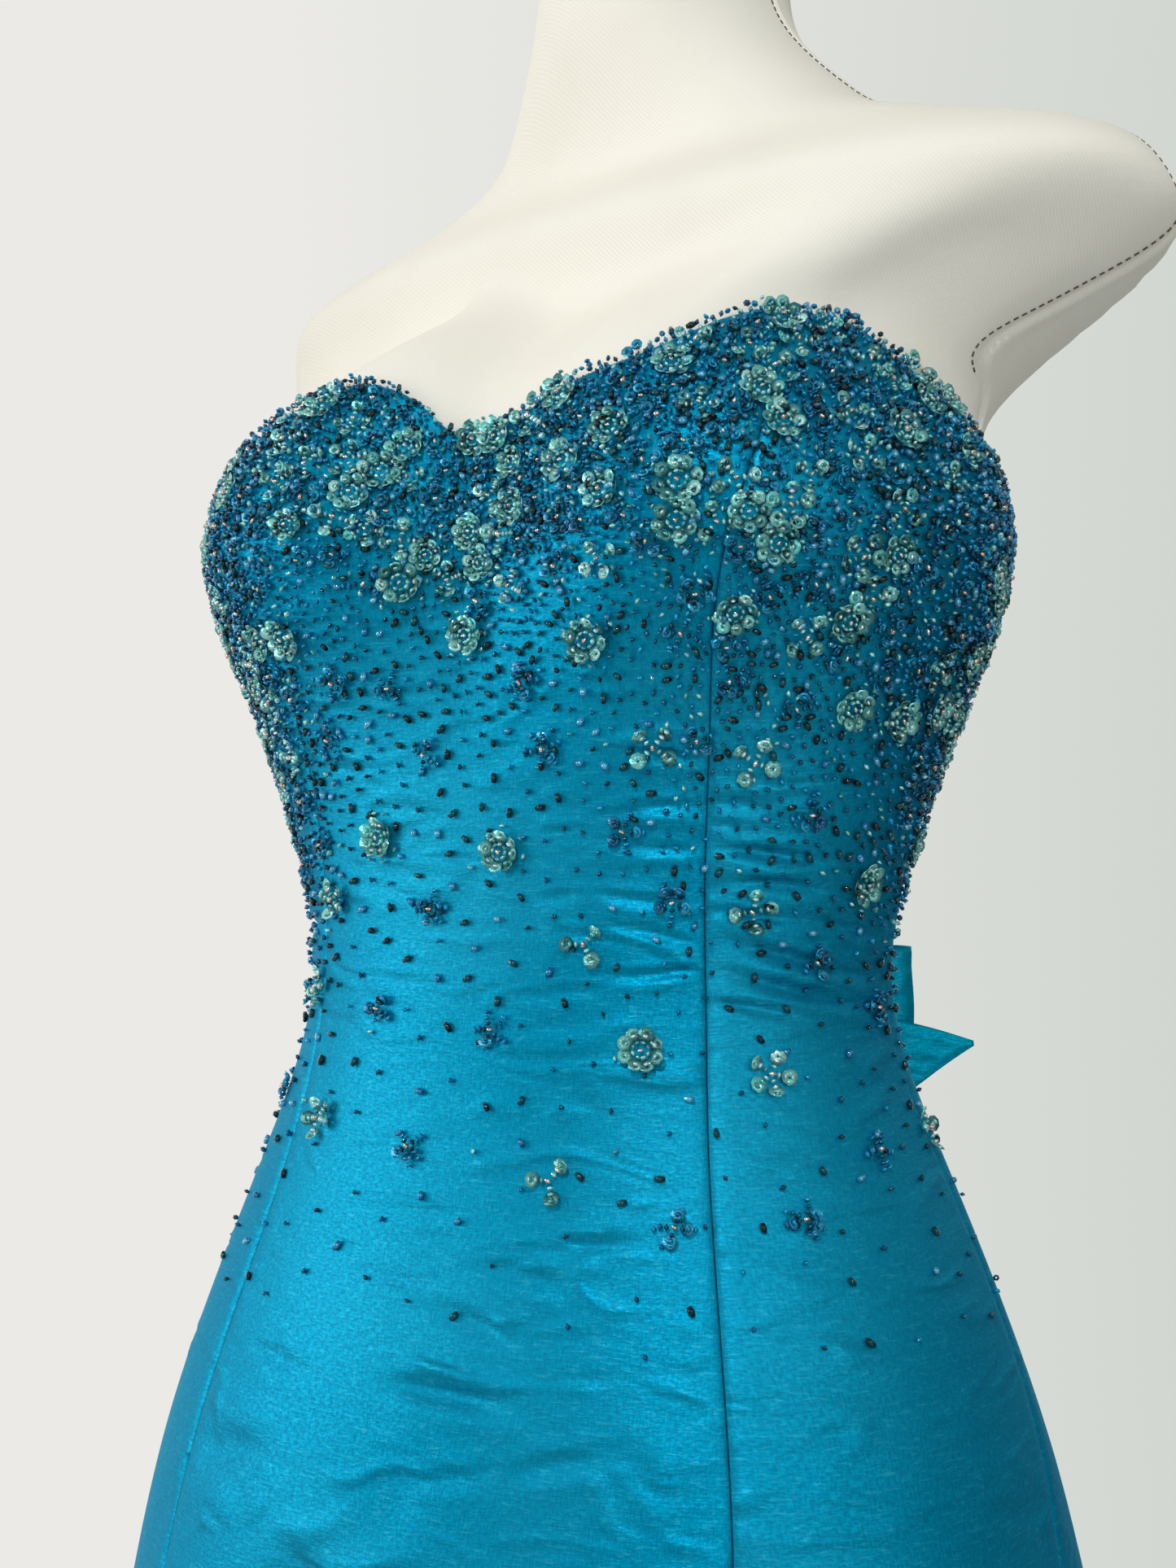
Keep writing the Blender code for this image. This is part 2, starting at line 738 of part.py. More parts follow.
def rod_along_x(name, radius, half_length, centre):
    """A round rod across the back, as a helper."""
    shape = bmesh.new()
    matrix = Matrix.Translation(centre) @ Matrix.Rotation(math.pi / 2, 4, "Y")
    bmesh.ops.create_cone(
        shape,
        cap_ends=True,
        segments=ROD_SIDES,
        radius1=radius,
        radius2=radius,
        depth=2 * half_length,
        matrix=matrix,
    )
    return boolean_helper(name, shape)


def join_by_boolean(thing, helper, operation):
    """Joins a helper to an object, or cuts it away."""
    modifier = thing.modifiers.new(helper.name, "BOOLEAN")
    modifier.operation = operation
    modifier.object = helper


def build_zip(metal):
    """The slider of the concealed zip, and the pull tab that hangs from its pin."""
    slider_top = top_edge(CENTRE_BACK) - SLIDER_BELOW_EDGE
    levels = (slider_top, slider_top - SLIDER_HEIGHT)
    cloth = [cloth_point(level, CENTRE_BACK - a).y for level in levels for a in SLIDER_TURNS]
    seat = max(cloth) + SEAT_GAP
    top = WAIST_HEIGHT + slider_top
    eye_radius = PIN_RADIUS + EYE_CLEARANCE + EYE_WALL
    pin = Vector((0, seat + SLIDER_DEPTH + eye_radius + EYE_CLEARANCE, top - SLIDER_HEIGHT / 2))
    build_slider(seat, top, pin, eye_radius, metal)
    build_pull(pin, eye_radius, metal)


def build_slider(seat, top, pin, eye_radius, metal):
    """A small rounded block with two ears and a pin between them."""
    ear_inner = EYE_WIDTH / 2 + EYE_CLEARANCE
    ear_outer = ear_inner + EAR_THICKNESS
    shape = bmesh.new()
    low = (-SLIDER_WIDTH / 2, seat, top - SLIDER_HEIGHT)
    box_mesh(shape, low, (SLIDER_WIDTH / 2, seat + SLIDER_DEPTH, top))
    bmesh.ops.bevel(shape, geom=shape.edges[:], offset=SLIDER_BEVEL, segments=1, affect="EDGES")
    mesh = bpy.data.meshes.new("zip_slider")
    shape.to_mesh(mesh)
    shape.free()
    slider = add_object("zip_slider", mesh, metal)
    for name, side in (("ear_left", 1), ("ear_right", -1)):
        ear = bmesh.new()
        near, far = sorted((side * ear_inner, side * ear_outer))
        low = (near, seat + SLIDER_DEPTH / 2, pin.z - eye_radius)
        box_mesh(ear, low, (far, pin.y + eye_radius, pin.z + eye_radius))
        join_by_boolean(slider, boolean_helper(name, ear), "UNION")
    rod = rod_along_x("pin", PIN_RADIUS, ear_outer - EAR_THICKNESS / 2, pin)
    join_by_boolean(slider, rod, "UNION")


def build_pull(pin, eye_radius, metal):
    """A flat drop-shaped tab that widens below its narrow neck, with an eye round the pin."""
    end_radius = TAB_WIDTH / 2
    neck_half = EYE_WIDTH / 2
    outline = [(-neck_half, 0), (-neck_half, -TAB_NECK)]
    for i in range(TAB_END_STEPS + 1):
        turn = math.pi * (1 + i / TAB_END_STEPS)
        outline.append((end_radius * math.cos(turn), end_radius * math.sin(turn) - TAB_LENGTH + end_radius))
    outline += [(neck_half, -TAB_NECK), (neck_half, 0)]
    tab = bmesh.new()
    back = pin.y - TAB_THICKNESS / 2
    corners = [tab.verts.new((x, back, pin.z + z)) for x, z in outline]
    made = bmesh.ops.extrude_face_region(tab, geom=[tab.faces.new(corners)])
    moved = [g for g in made["geom"] if isinstance(g, bmesh.types.BMVert)]
    bmesh.ops.translate(tab, vec=(0, TAB_THICKNESS, 0), verts=moved)
    bmesh.ops.recalc_face_normals(tab, faces=tab.faces)
    mesh = bpy.data.meshes.new("zip_pull")
    tab.to_mesh(mesh)
    tab.free()
    pull = add_object("zip_pull", mesh, metal)
    eye = rod_along_x("pull_eye", eye_radius, EYE_WIDTH / 2, pin)
    join_by_boolean(pull, eye, "UNION")
    bore = rod_along_x("pull_bore", PIN_RADIUS + EYE_CLEARANCE, EYE_WIDTH, pin)
    join_by_boolean(pull, bore, "DIFFERENCE")


def main():
    clear_scene()
    cloth = make_material("turquoise_taffeta", "1A93B5", 0.45)
    jersey = make_material("cream_jersey", "E6E2D3", 0.9)
    steel = make_material("brushed_steel", "B9BCC0", 0.35, 1.0)
    metal = make_material("nickel_zip", "9FB0B8", 0.3, 1.0)
    for name in PANELS:
        build_panel(name, cloth)
    form = build_form(jersey)
    build_stand(form, steel)
    build_bow(cloth)
    build_zip(metal)


main()
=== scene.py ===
# %% [markdown]
# # A beaded evening dress on a dress form
#
# The real object is a strapless, floor-length evening dress sewn from turquoise taffeta. Its
# bodice is covered by hand with glass beads and sequin flowers, thick at the neckline and
# thinning out to single flowers at the hip. It stands on a limbless form covered in cream
# jersey, on a steel stand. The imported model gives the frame: every piece made here lies where
# its solid lies, and adds the seams, creases, weave and beads that a solid can't show.

import json
import math
from collections import namedtuple

import bpy
import numpy as np
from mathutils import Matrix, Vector

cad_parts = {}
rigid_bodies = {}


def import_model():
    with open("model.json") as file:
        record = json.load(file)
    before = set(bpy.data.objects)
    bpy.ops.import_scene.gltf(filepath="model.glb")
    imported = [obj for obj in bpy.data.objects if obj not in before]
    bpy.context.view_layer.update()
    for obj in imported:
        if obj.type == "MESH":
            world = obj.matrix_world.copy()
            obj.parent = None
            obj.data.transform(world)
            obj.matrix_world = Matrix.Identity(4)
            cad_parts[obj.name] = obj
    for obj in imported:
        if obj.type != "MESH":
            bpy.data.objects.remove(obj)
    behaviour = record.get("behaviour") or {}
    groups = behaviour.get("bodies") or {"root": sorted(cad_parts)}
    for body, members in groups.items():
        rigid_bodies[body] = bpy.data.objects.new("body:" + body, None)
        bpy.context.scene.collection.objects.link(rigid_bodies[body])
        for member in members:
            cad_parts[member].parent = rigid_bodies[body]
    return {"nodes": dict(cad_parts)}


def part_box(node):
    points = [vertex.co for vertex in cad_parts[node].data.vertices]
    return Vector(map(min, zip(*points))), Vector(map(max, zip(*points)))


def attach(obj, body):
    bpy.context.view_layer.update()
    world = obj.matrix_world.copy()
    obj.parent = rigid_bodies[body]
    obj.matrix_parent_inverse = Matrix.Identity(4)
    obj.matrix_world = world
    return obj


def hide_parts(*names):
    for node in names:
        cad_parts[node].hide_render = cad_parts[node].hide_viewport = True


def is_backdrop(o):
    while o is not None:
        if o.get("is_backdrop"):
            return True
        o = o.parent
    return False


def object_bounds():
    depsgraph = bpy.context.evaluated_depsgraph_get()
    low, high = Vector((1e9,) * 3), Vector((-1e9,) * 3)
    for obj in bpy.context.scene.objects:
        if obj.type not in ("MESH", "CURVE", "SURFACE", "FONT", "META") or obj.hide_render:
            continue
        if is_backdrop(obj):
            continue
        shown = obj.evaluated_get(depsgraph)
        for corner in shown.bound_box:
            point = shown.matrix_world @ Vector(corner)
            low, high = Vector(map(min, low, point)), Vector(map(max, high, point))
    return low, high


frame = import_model()
cad_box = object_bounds()
nodes = frame["nodes"]
print("solids in the frame:", ", ".join(sorted(nodes)))

# %% [markdown]
# ## The camera
#
# The photograph is taken from the wearer's left front at about waist height, three quarters
# of a metre away, and it shows the dress from the neck to the hip. A camera is easiest to
# place by what it looks from: a point, a turn round the upright axis and a small tilt. The
# small shift keeps the dress where the photograph's framing has it.

# %% Camera
WAIST = 1.060
PHOTO_HEIGHT_PX = 1927
FOCAL_PX = 2415.1
SENSOR_MM = 36.0
CAMERA_TURN = math.radians(30)
CAMERA_TILT = 0.030
CAMERA_DISTANCE = 0.7565
CAMERA_ABOVE_WAIST = 0.0561
AXIS_OFF_CENTRE_PX = 13.7

camera_data = bpy.data.cameras.new("photo_camera")
camera_data.sensor_width = SENSOR_MM
camera_data.lens = SENSOR_MM * FOCAL_PX / PHOTO_HEIGHT_PX
camera_data.shift_x = -AXIS_OFF_CENTRE_PX / PHOTO_HEIGHT_PX
camera = bpy.data.objects.new("photo_camera", camera_data)
camera.location = (
    CAMERA_DISTANCE * math.sin(CAMERA_TURN),
    -CAMERA_DISTANCE * math.cos(CAMERA_TURN),
    WAIST + CAMERA_ABOVE_WAIST,
)
camera.rotation_euler = (math.pi / 2 + CAMERA_TILT, 0, CAMERA_TURN)
bpy.context.scene.collection.objects.link(camera)
bpy.context.scene.camera = camera
print(f"camera lens {camera_data.lens:.1f} mm at {tuple(round(c, 3) for c in camera.location)}")

# %% [markdown]
# ## Small helpers
#
# Colours are written as the sRGB hex codes that a picture shows, and one function turns them
# into the linear values that shaders want. One more function adds a node to a material with
# its settings and its links, so that each material below reads as a list of what it is made of.
# A socket is called by its name, or by i and its place where several have the same name.

# %% Helpers for colours, nodes and meshes
MM = 0.001


def colour(code):
    """The linear RGBA of an sRGB hex code."""
    channels = [int(code[i : i + 2], 16) / 255 for i in (0, 2, 4)]
    return [c / 12.92 if c <= 0.04045 else ((c + 0.055) / 1.055) ** 2.4 for c in channels] + [1.0]


def fill_sockets(owner, node, inputs):
    """Links each socket of a node to another node, or sets its value."""
    for name, value in inputs.items():
        by_place = name[0] == "i" and name[1:].isdigit()
        socket = node.inputs[int(name[1:])] if by_place else node.inputs[name]
        if isinstance(value, bpy.types.NodeSocket):
            owner.node_tree.links.new(value, socket)
        else:
            socket.default_value = value


def add_node(owner, kind, settings=None, **inputs):
    """Adds a node to a material or a world, sets its options, and fills its sockets."""
    new = owner.node_tree.nodes.new(kind)
    for name, value in (settings or {}).items():
        setattr(new, name, value)
    fill_sockets(owner, new, inputs)
    return new


def new_material(name):
    """A material with an empty Principled surface, and that surface's node."""
    material = bpy.data.materials.new(name)
    material.use_nodes = True
    return material, material.node_tree.nodes["Principled BSDF"]


def deselect_all():
    """Clears the selection, because an operator acts on all that is selected."""
    for thing in bpy.context.view_layer.objects:
        thing.select_set(False)


def make_active(thing):
    """Selects one object alone."""
    deselect_all()
    thing.select_set(True)
    bpy.context.view_layer.objects.active = thing


def add_piece(name, points, faces, material, body="dress_on_form"):
    """Makes a smooth object from an array of points and lists of faces, riding on a body."""
    mesh = bpy.data.meshes.new(name)
    mesh.from_pydata(points.tolist(), [], faces)
    mesh.update()
    mesh.shade_smooth()
    mesh.materials.append(material)
    piece = bpy.data.objects.new(name, mesh)
    bpy.context.scene.collection.objects.link(piece)
    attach(piece, body)
    return piece


def apply_modifier(piece, kind, **settings):
    """Adds a modifier and applies it."""
    make_active(piece)
    modifier = piece.modifiers.new(kind.lower(), kind)
    for name, value in settings.items():
        setattr(modifier, name, value)
    bpy.ops.object.modifier_apply(modifier=modifier.name)


def triangle_count(piece):
    """How many triangles a piece's faces come to."""
    return sum(len(polygon.vertices) - 2 for polygon in piece.data.polygons)


# %% [markdown]
# ## The cut of the dress
#
# The dress is five pieces from top edge to hem: a centre front between two curved princess
# seams, two side fronts and two backs. The same few sections that shape the solids shape the
# cloth here: half widths and depths at each level, a round rise for each bust cup, and flutes
# that open below the hip. A smooth curve runs through each column of the tables. Numpy works
# on whole grids of points at once, which is what lets the cloth be fine enough for creases.

# %% Sections of the dress
# Metres and degrees, from 0 at the front to 90 at the wearer's left
HEM_BELOW_WAIST = 1.045
CAD_CLOTH = 0.002
SECTION_ROUNDNESS = 2.25

Section = namedtuple("Section", "above_waist half_width front_depth back_depth")
DRESS_SECTIONS = (
    Section(0.300, 0.108, 0.074, 0.090),
    Section(0.240, 0.126, 0.077, 0.088),
    Section(0.195, 0.151, 0.080, 0.086),
    Section(0.155, 0.158, 0.082, 0.083),
    Section(0.110, 0.144, 0.084, 0.078),
    Section(0.060, 0.125, 0.085, 0.074),
    Section(0.000, 0.115, 0.088, 0.073),
    Section(-0.060, 0.134, 0.099, 0.087),
    Section(-0.115, 0.156, 0.116, 0.104),
    Section(-0.170, 0.174, 0.132, 0.117),
    Section(-0.250, 0.190, 0.147, 0.132),
    Section(-0.450, 0.228, 0.185, 0.176),
    Section(-0.750, 0.286, 0.246, 0.254),
    Section(-HEM_BELOW_WAIST, 0.340, 0.305, 0.335),
)

CUP_RISE = 0.0343
CUP_ANGLE = 44.4
CUP_HALF_ANGLE = 18.9
CUP_ABOVE_WAIST = 0.174
CUP_HALF_HEIGHT = 0.041

Flute = namedtuple("Flute", "angle rise half_angle begins_below")
FLUTES = (
    Flute(-33, 0.040, 8.5, 0.110),
    Flute(-4, 0.030, 8.0, 0.300),
    Flute(27, 0.048, 9.0, 0.200),
    Flute(60, 0.036, 8.5, 0.270),
    Flute(91, 0.052, 9.0, 0.180),
    Flute(121, 0.038, 9.0, 0.240),
    Flute(151, 0.054, 9.5, 0.160),
    Flute(-178, 0.042, 9.5, 0.200),
    Flute(-146, 0.056, 9.5, 0.150),
    Flute(-113, 0.036, 8.5, 0.250),
    Flute(-82, 0.050, 9.0, 0.190),
    Flute(-58, 0.024, 7.0, 0.330),
)
FLUTE_GROWTH = 1.3

EdgePoint = namedtuple("EdgePoint", "angle above_waist")
TOP_EDGE = (
    # The dress sits a little turned and lower on the wearer's right
    EdgePoint(-180, 0.1550),
    EdgePoint(-130, 0.1600),
    EdgePoint(-108, 0.1710),
    EdgePoint(-92, 0.1840),
    EdgePoint(-78, 0.1940),
    EdgePoint(-65, 0.2000),
    EdgePoint(-54, 0.2060),
    EdgePoint(-44, 0.2155),
    EdgePoint(-34, 0.2225),
    EdgePoint(-24, 0.2200),
    EdgePoint(-15, 0.2110),
    EdgePoint(-7, 0.2005),
    EdgePoint(2, 0.2010),
    EdgePoint(12, 0.2045),
    EdgePoint(24, 0.2125),
    EdgePoint(35, 0.2180),
    EdgePoint(45, 0.2260),
    EdgePoint(55, 0.2340),
    EdgePoint(65, 0.2350),
    EdgePoint(74, 0.2310),
    EdgePoint(80, 0.2190),
    EdgePoint(86, 0.2070),
    EdgePoint(95, 0.1900),
    EdgePoint(110, 0.1720),
    EdgePoint(130, 0.1600),
    EdgePoint(180, 0.1550),
)

SeamPoint = namedtuple("SeamPoint", "above_waist angle")
PRINCESS_SEAM = (
    SeamPoint(0.235, 62.0),
    SeamPoint(0.215, 57.0),
    SeamPoint(0.188, 51.4),
    SeamPoint(0.144, 46.8),
    SeamPoint(0.100, 48.5),
    SeamPoint(0.040, 49.7),
    SeamPoint(0.000, 49.9),
    SeamPoint(-0.041, 48.5),
    SeamPoint(-0.090, 47.1),
    SeamPoint(-0.166, 45.5),
    SeamPoint(-0.250, 43.0),
    SeamPoint(-0.500, 40.0),
    SeamPoint(-HEM_BELOW_WAIST, 38.0),
)
SIDE_SEAM = (
    SeamPoint(0.210, 93.0),
    SeamPoint(0.000, 94.0),
    SeamPoint(-0.070, 96.5),
    SeamPoint(-0.130, 96.5),
    SeamPoint(-0.190, 90.5),
    SeamPoint(-0.300, 88.0),
    SeamPoint(-HEM_BELOW_WAIST, 88.0),
)
print(f"{len(DRESS_SECTIONS)} sections and {len(FLUTES)} flutes shape the dress")


# %% Smooth curves through the tables
def smooth_curve(places, values):
    """A natural cubic spline through one column of a table, for whole arrays of places."""
    order = np.argsort(places)
    x = np.asarray(places, float)[order]
    y = np.asarray(values, float)[order]
    gap = np.diff(x)
    slope = np.diff(y) / gap
    count = len(x)
    matrix = np.eye(count)
    right = np.zeros(count)
    for i in range(1, count - 1):
        matrix[i, i - 1 : i + 2] = gap[i - 1], 2 * (gap[i - 1] + gap[i]), gap[i]
        right[i] = 6 * (slope[i] - slope[i - 1])
    bend = np.linalg.solve(matrix, right)

    def at(place):
        p = np.clip(place, x[0], x[-1])
        i = np.clip(np.searchsorted(x, p) - 1, 0, count - 2)
        a = x[i + 1] - p
        b = p - x[i]
        h = gap[i]
        curve = (bend[i] * a**3 + bend[i + 1] * b**3) / (6 * h)
        return curve + (y[i] / h - bend[i] * h / 6) * a + (y[i + 1] / h - bend[i + 1] * h / 6) * b

    return at


def columns_of(table):
    """One smooth curve for each column of a table after its first."""
    places = [row[0] for row in table]
    return [smooth_curve(places, column) for column in list(zip(*table))[1:]]


half_width, front_depth, back_depth = columns_of(DRESS_SECTIONS)
top_edge_curve = columns_of(TOP_EDGE)[0]
princess_angle = columns_of(PRINCESS_SEAM)[0]
side_angle = columns_of(SIDE_SEAM)[0]


def turn_between(angle, other):
    """The smaller angle between two directions, in degrees."""
    return (angle - other + 180) % 360 - 180


def bell(distance, half_size):
    """1 at the middle, falling away smoothly on both sides."""
    return np.exp(-0.5 * (distance / half_size) ** 2)


def soft_step(share):
    """Goes from 0 to 1 with level ends."""
    t = np.clip(share, 0.0, 1.0)
    return t * t * (3 - 2 * t)


def top_edge(angle):
    """How high the dress reaches above the waist at an angle."""
    return top_edge_curve(turn_between(angle, 0))


def oval_radius(angle, wide, front, back, roundness):
    """The radius of an oval with different depths at the front and the back."""
    side = np.sin(np.radians(angle))
    ahead = np.cos(np.radians(angle))
    depth = np.where(ahead > 0, front, back)
    total = np.abs(side / wide) ** roundness + np.abs(ahead / depth) ** roundness
    return total ** (-1 / roundness)


def dress_radius(level, angle):
    """The outer surface of the cloth, as a distance from the axis."""
    wide = half_width(level)
    radius = oval_radius(angle, wide, front_depth(level), back_depth(level), SECTION_ROUNDNESS)
    cup_share = bell(level - CUP_ABOVE_WAIST, CUP_HALF_HEIGHT)
    for side in (-1, 1):
        radius = radius + CUP_RISE * cup_share * bell(turn_between(angle, side * CUP_ANGLE), CUP_HALF_ANGLE)
    for flute in FLUTES:
        drop = np.clip((-level - flute.begins_below) / (HEM_BELOW_WAIST - flute.begins_below), 0, 1)
        spread = bell(turn_between(angle, flute.angle), flute.half_angle)
        radius = radius + flute.rise * drop**FLUTE_GROWTH * spread
    return radius


def millimetres_per_degree(angle, level):
    """How far one degree round the dress is, in millimetres, at a place on it."""
    return math.radians(1) * float(dress_radius(level, angle)) / MM


def place(radius, angle, level, centre_back=0.0):
    """Points at distances and angles round the upright axis."""
    turn = np.radians(angle)
    x = radius * np.sin(turn)
    y = centre_back - radius * np.cos(turn)
    return np.stack([x, y, WAIST + level + 0 * x], axis=-1)


def unit(vectors):
    """The same directions, each one long."""
    return vectors / np.linalg.norm(vectors, axis=-1, keepdims=True)


NORMAL_TURN = 0.5
NORMAL_RISE = 0.002


def smooth_cloth(level, angle):
    """The smooth cloth's points, with the directions round it, up it and out of it."""
    here = place(dress_radius(level, angle), angle, level)
    before = place(dress_radius(level, angle - NORMAL_TURN), angle - NORMAL_TURN, level)
    after = place(dress_radius(level, angle + NORMAL_TURN), angle + NORMAL_TURN, level)
    below = place(dress_radius(level - NORMAL_RISE, angle), angle, level - NORMAL_RISE)
    above = place(dress_radius(level + NORMAL_RISE, angle), angle, level + NORMAL_RISE)
    around = unit(after - before)
    up = unit(above - below)
    out = unit(np.cross(around, up))
    return here, around, up, out


# %% [markdown]
# ## The creases
#
# Taffeta is stiff and keeps every fold. Where the bodice is fitted, thin uneven creases run
# sideways, deepest beside the princess seam at the waist, and longer and softer ones cross the
# front of the skirt. Each one is a trough with a low lip on each side, given by its two
# ends, and it fades towards both. The cloth hangs over it, so its upper wall is steep and
# dark and its lower wall is gentle. Sculpting would also work, but a table keeps every crease
# at a size that can be read and changed. Small seeded crinkles fill in between.

# %% Main creases
# Heights above the waist, widths, depths and sag are in millimetres, and strongest is a share
Crease = namedtuple("Crease", "angle height end_angle end_height width depth strongest sag")
MAIN_CREASES = (
    # Wearer's left, from the princess seam round to the side seam
    Crease(49.9, 55, 76, 47, 2.3, 2.8, 0.35, 1.0),
    Crease(50.2, 63, 57, 61, 1.8, 1.4, 0.30, 0.0),
    Crease(50.2, 71, 61, 66, 2.2, 1.5, 0.30, 0.5),
    Crease(51.0, 44, 79, 38, 2.0, 2.3, 0.40, 1.0),
    Crease(50.2, 34, 72, 29, 1.8, 2.0, 0.35, 0.0),
    Crease(50.0, 26, 93, 8, 2.4, 3.2, 0.42, -1.5),
    Crease(50.0, 15, 92, -3, 2.3, 3.1, 0.42, -1.0),
    Crease(50.2, 4, 76, -5, 1.9, 1.8, 0.20, 0.0),
    Crease(62.0, 33, 93, 22, 2.4, 1.8, 0.50, 1.0),
    Crease(54.2, -54, 62, -51, 1.7, 0.9, 0.50, 0.5),
    Crease(64.6, -66, 70.4, -64, 1.6, 0.7, 0.50, 0.0),
    Crease(58.4, -95, 65, -91, 1.7, 0.8, 0.50, 0.0),
    Crease(54.2, -101, 58.6, -102, 1.6, 0.6, 0.50, 0.0),
    Crease(54.0, -132, 63.6, -128, 1.8, 1.1, 0.50, 0.5),
    Crease(76.0, -157, 90, -171, 2.4, 1.0, 0.50, 1.0),
    # Front, beside the same seam
    Crease(26.0, 12, 49.6, 15, 1.7, 1.8, 0.80, -1.5),
    Crease(26.5, 41, 46.5, 36, 1.7, 1.4, 0.55, -1.0),
    Crease(13.5, 36, 28, 39, 2.0, 0.9, 0.60, 0.5),
    Crease(30.0, 30, 49.5, 21, 1.6, 1.4, 0.70, 1.0),
    Crease(26.0, 64, 49, 70, 1.9, 1.3, 0.75, 0.5),
    Crease(33.0, 55, 49.2, 53, 1.8, 1.3, 0.70, 0.5),
    Crease(34.0, 88, 48.0, 84, 2.0, 1.4, 0.70, 0.0),
    Crease(-36.0, 79, -21, 73, 1.8, 0.6, 0.50, 0.5),
    Crease(-11.0, 53, 3, 50, 1.8, 0.6, 0.50, 0.0),
    Crease(4.0, 4, 34, 8, 1.9, 0.6, 0.60, -0.5),
    Crease(-46.0, 10, 0, 5, 1.9, 0.5, 0.50, 0.5),
    # Front of the skirt, over the hip
    Crease(-17.0, -78, 7, -77, 1.8, 0.7, 0.60, 0.0),
    Crease(16.5, -79, 40, -72, 2.4, 1.3, 0.50, 0.5),
    Crease(-28.0, -90, 5, -93, 2.0, 0.8, 0.60, 0.5),
    Crease(4.5, -83, 28, -89, 2.8, 1.7, 0.55, 0.5),
    Crease(-6.0, -95, 20, -108, 3.0, 1.7, 0.60, 1.0),
    Crease(-10.0, -123, 23, -127, 3.2, 2.6, 0.45, 1.5),
    Crease(24.0, -115, 33.5, -115, 1.6, 0.6, 0.50, 0.0),
    Crease(0.0, -152, 17.5, -144, 2.4, 1.1, 0.50, 0.5),
    Crease(15.5, -146, 35, -133, 2.6, 1.3, 0.45, 0.5),
    Crease(-42.0, -120, -18, -128, 2.6, 1.0, 0.50, 0.5),
    Crease(-50.0, -92, -34, -97, 2.2, 0.8, 0.50, 0.5),
    # Wearer's right, hidden beyond the front
    Crease(-50.0, 52, -79, 46, 3.0, 1.6, 0.25, 1.0),
    Crease(-50.0, 31, -90, 17, 3.2, 2.0, 0.30, -1.0),
    Crease(-50.0, 12, -88, 2, 2.8, 1.8, 0.30, -1.0),
    Crease(-52.0, 66, -66, 63, 2.0, 0.9, 0.30, 0.5),
    Crease(-56.0, -57, -65, -54, 1.8, 0.8, 0.50, 0.5),
    Crease(-60.0, -102, -71, -97, 1.8, 0.9, 0.50, 0.0),
    Crease(-57.0, -138, -69, -131, 2.0, 1.0, 0.50, 0.5),
    # Back, wearer's left
    Crease(98.0, 41, 141, 34, 2.8, 1.5, 0.30, 1.0),
    Crease(97.0, 22, 152, 14, 3.2, 1.9, 0.35, -1.5),
    Crease(104.0, 3, 160, -4, 2.8, 1.5, 0.50, 1.0),
    Crease(122.0, 60, 166, 66, 2.4, 1.1, 0.60, 0.5),
    Crease(110.0, -60, 136, -52, 2.2, 1.0, 0.50, 0.5),
    Crease(139.0, -90, 171, -84, 2.6, 1.3, 0.50, 1.0),
    Crease(103.0, -130, 129, -138, 2.6, 1.4, 0.50, 1.0),
    Crease(149.0, -160, 173, -149, 2.2, 0.9, 0.50, 0.5),
    # Back, wearer's right
    Crease(-99.0, 44, -147, 36, 2.8, 1.6, 0.30, 1.0),
    Crease(-97.0, 20, -151, 15, 3.2, 1.8, 0.35, -1.0),
    Crease(-109.0, 1, -166, -5, 2.6, 1.4, 0.50, 1.0),
    Crease(-124.0, 64, -161, 59, 2.2, 1.0, 0.50, 0.5),
    Crease(-111.0, -54, -141, -63, 2.4, 1.1, 0.50, 0.5),
    Crease(-134.0, -95, -169, -88, 2.6, 1.3, 0.50, 1.0),
    Crease(-100.0, -128, -121, -137, 2.4, 1.2, 0.50, 0.5),
    Crease(-147.0, -150, -171, -161, 2.2, 1.0, 0.50, 0.5),
)
LIP_SHARE = 0.35
LIP_PLACE = 1.9
STEEPER_ABOVE = 1.25
GENTLER_BELOW = 0.80
CREASE_REACH = 6.0
END_WIDTH = 0.65
NEAR_SHARE = 0.2
NEAR_MM = 20
DEEPEST_TROUGH = 0.0026


def crease_share(along, strongest):
    """How strong a crease is along its length: nothing at its ends, full at its strongest place."""
    rising = soft_step(along / strongest)
    falling = soft_step((1 - along) / (1 - strongest))
    return np.where(along < strongest, rising, falling)


def crease_rise(level, angle, creases):
    """How far the cloth stands out, in metres, because of a list of creases."""
    flat_level = np.ravel(level)
    flat_angle = np.ravel(angle)
    rise = np.zeros(flat_level.shape)
    for crease in creases:
        middle = (crease.angle + crease.end_angle) / 2
        height = (crease.height + crease.end_height) / 2
        turn_mm = millimetres_per_degree(middle, height * MM)
        wide = (crease.end_angle - crease.angle) * turn_mm
        tall = crease.end_height - crease.height
        length = math.hypot(wide, tall)
        x = turn_between(flat_angle, crease.angle) * turn_mm
        z = flat_level / MM - crease.height
        along = (x * wide + z * tall) / length**2
        beside = np.abs(z - tall * along) < length * NEAR_SHARE + NEAR_MM
        near = np.flatnonzero((along > 0) & (along < 1) & beside)
        a = along[near]
        across = (z[near] - tall * a) * abs(wide) / length
        width = crease.width * (END_WIDTH + (1 - END_WIDTH) * np.sin(math.pi * a))
        across = (across - 4 * crease.sag * a * (1 - a)) / width
        across = across * np.where(across > 0, STEEPER_ABOVE, GENTLER_BELOW)
        lips = np.exp(-((across - LIP_PLACE) ** 2)) + np.exp(-((across + LIP_PLACE) ** 2))
        shape = LIP_SHARE * lips - np.exp(-(across**2))
        shape[np.abs(across) > CREASE_REACH] = 0
        rise[near] += crease.depth * MM * crease_share(a, crease.strongest) * shape
    return np.maximum(rise, -DEEPEST_TROUGH).reshape(np.shape(level))


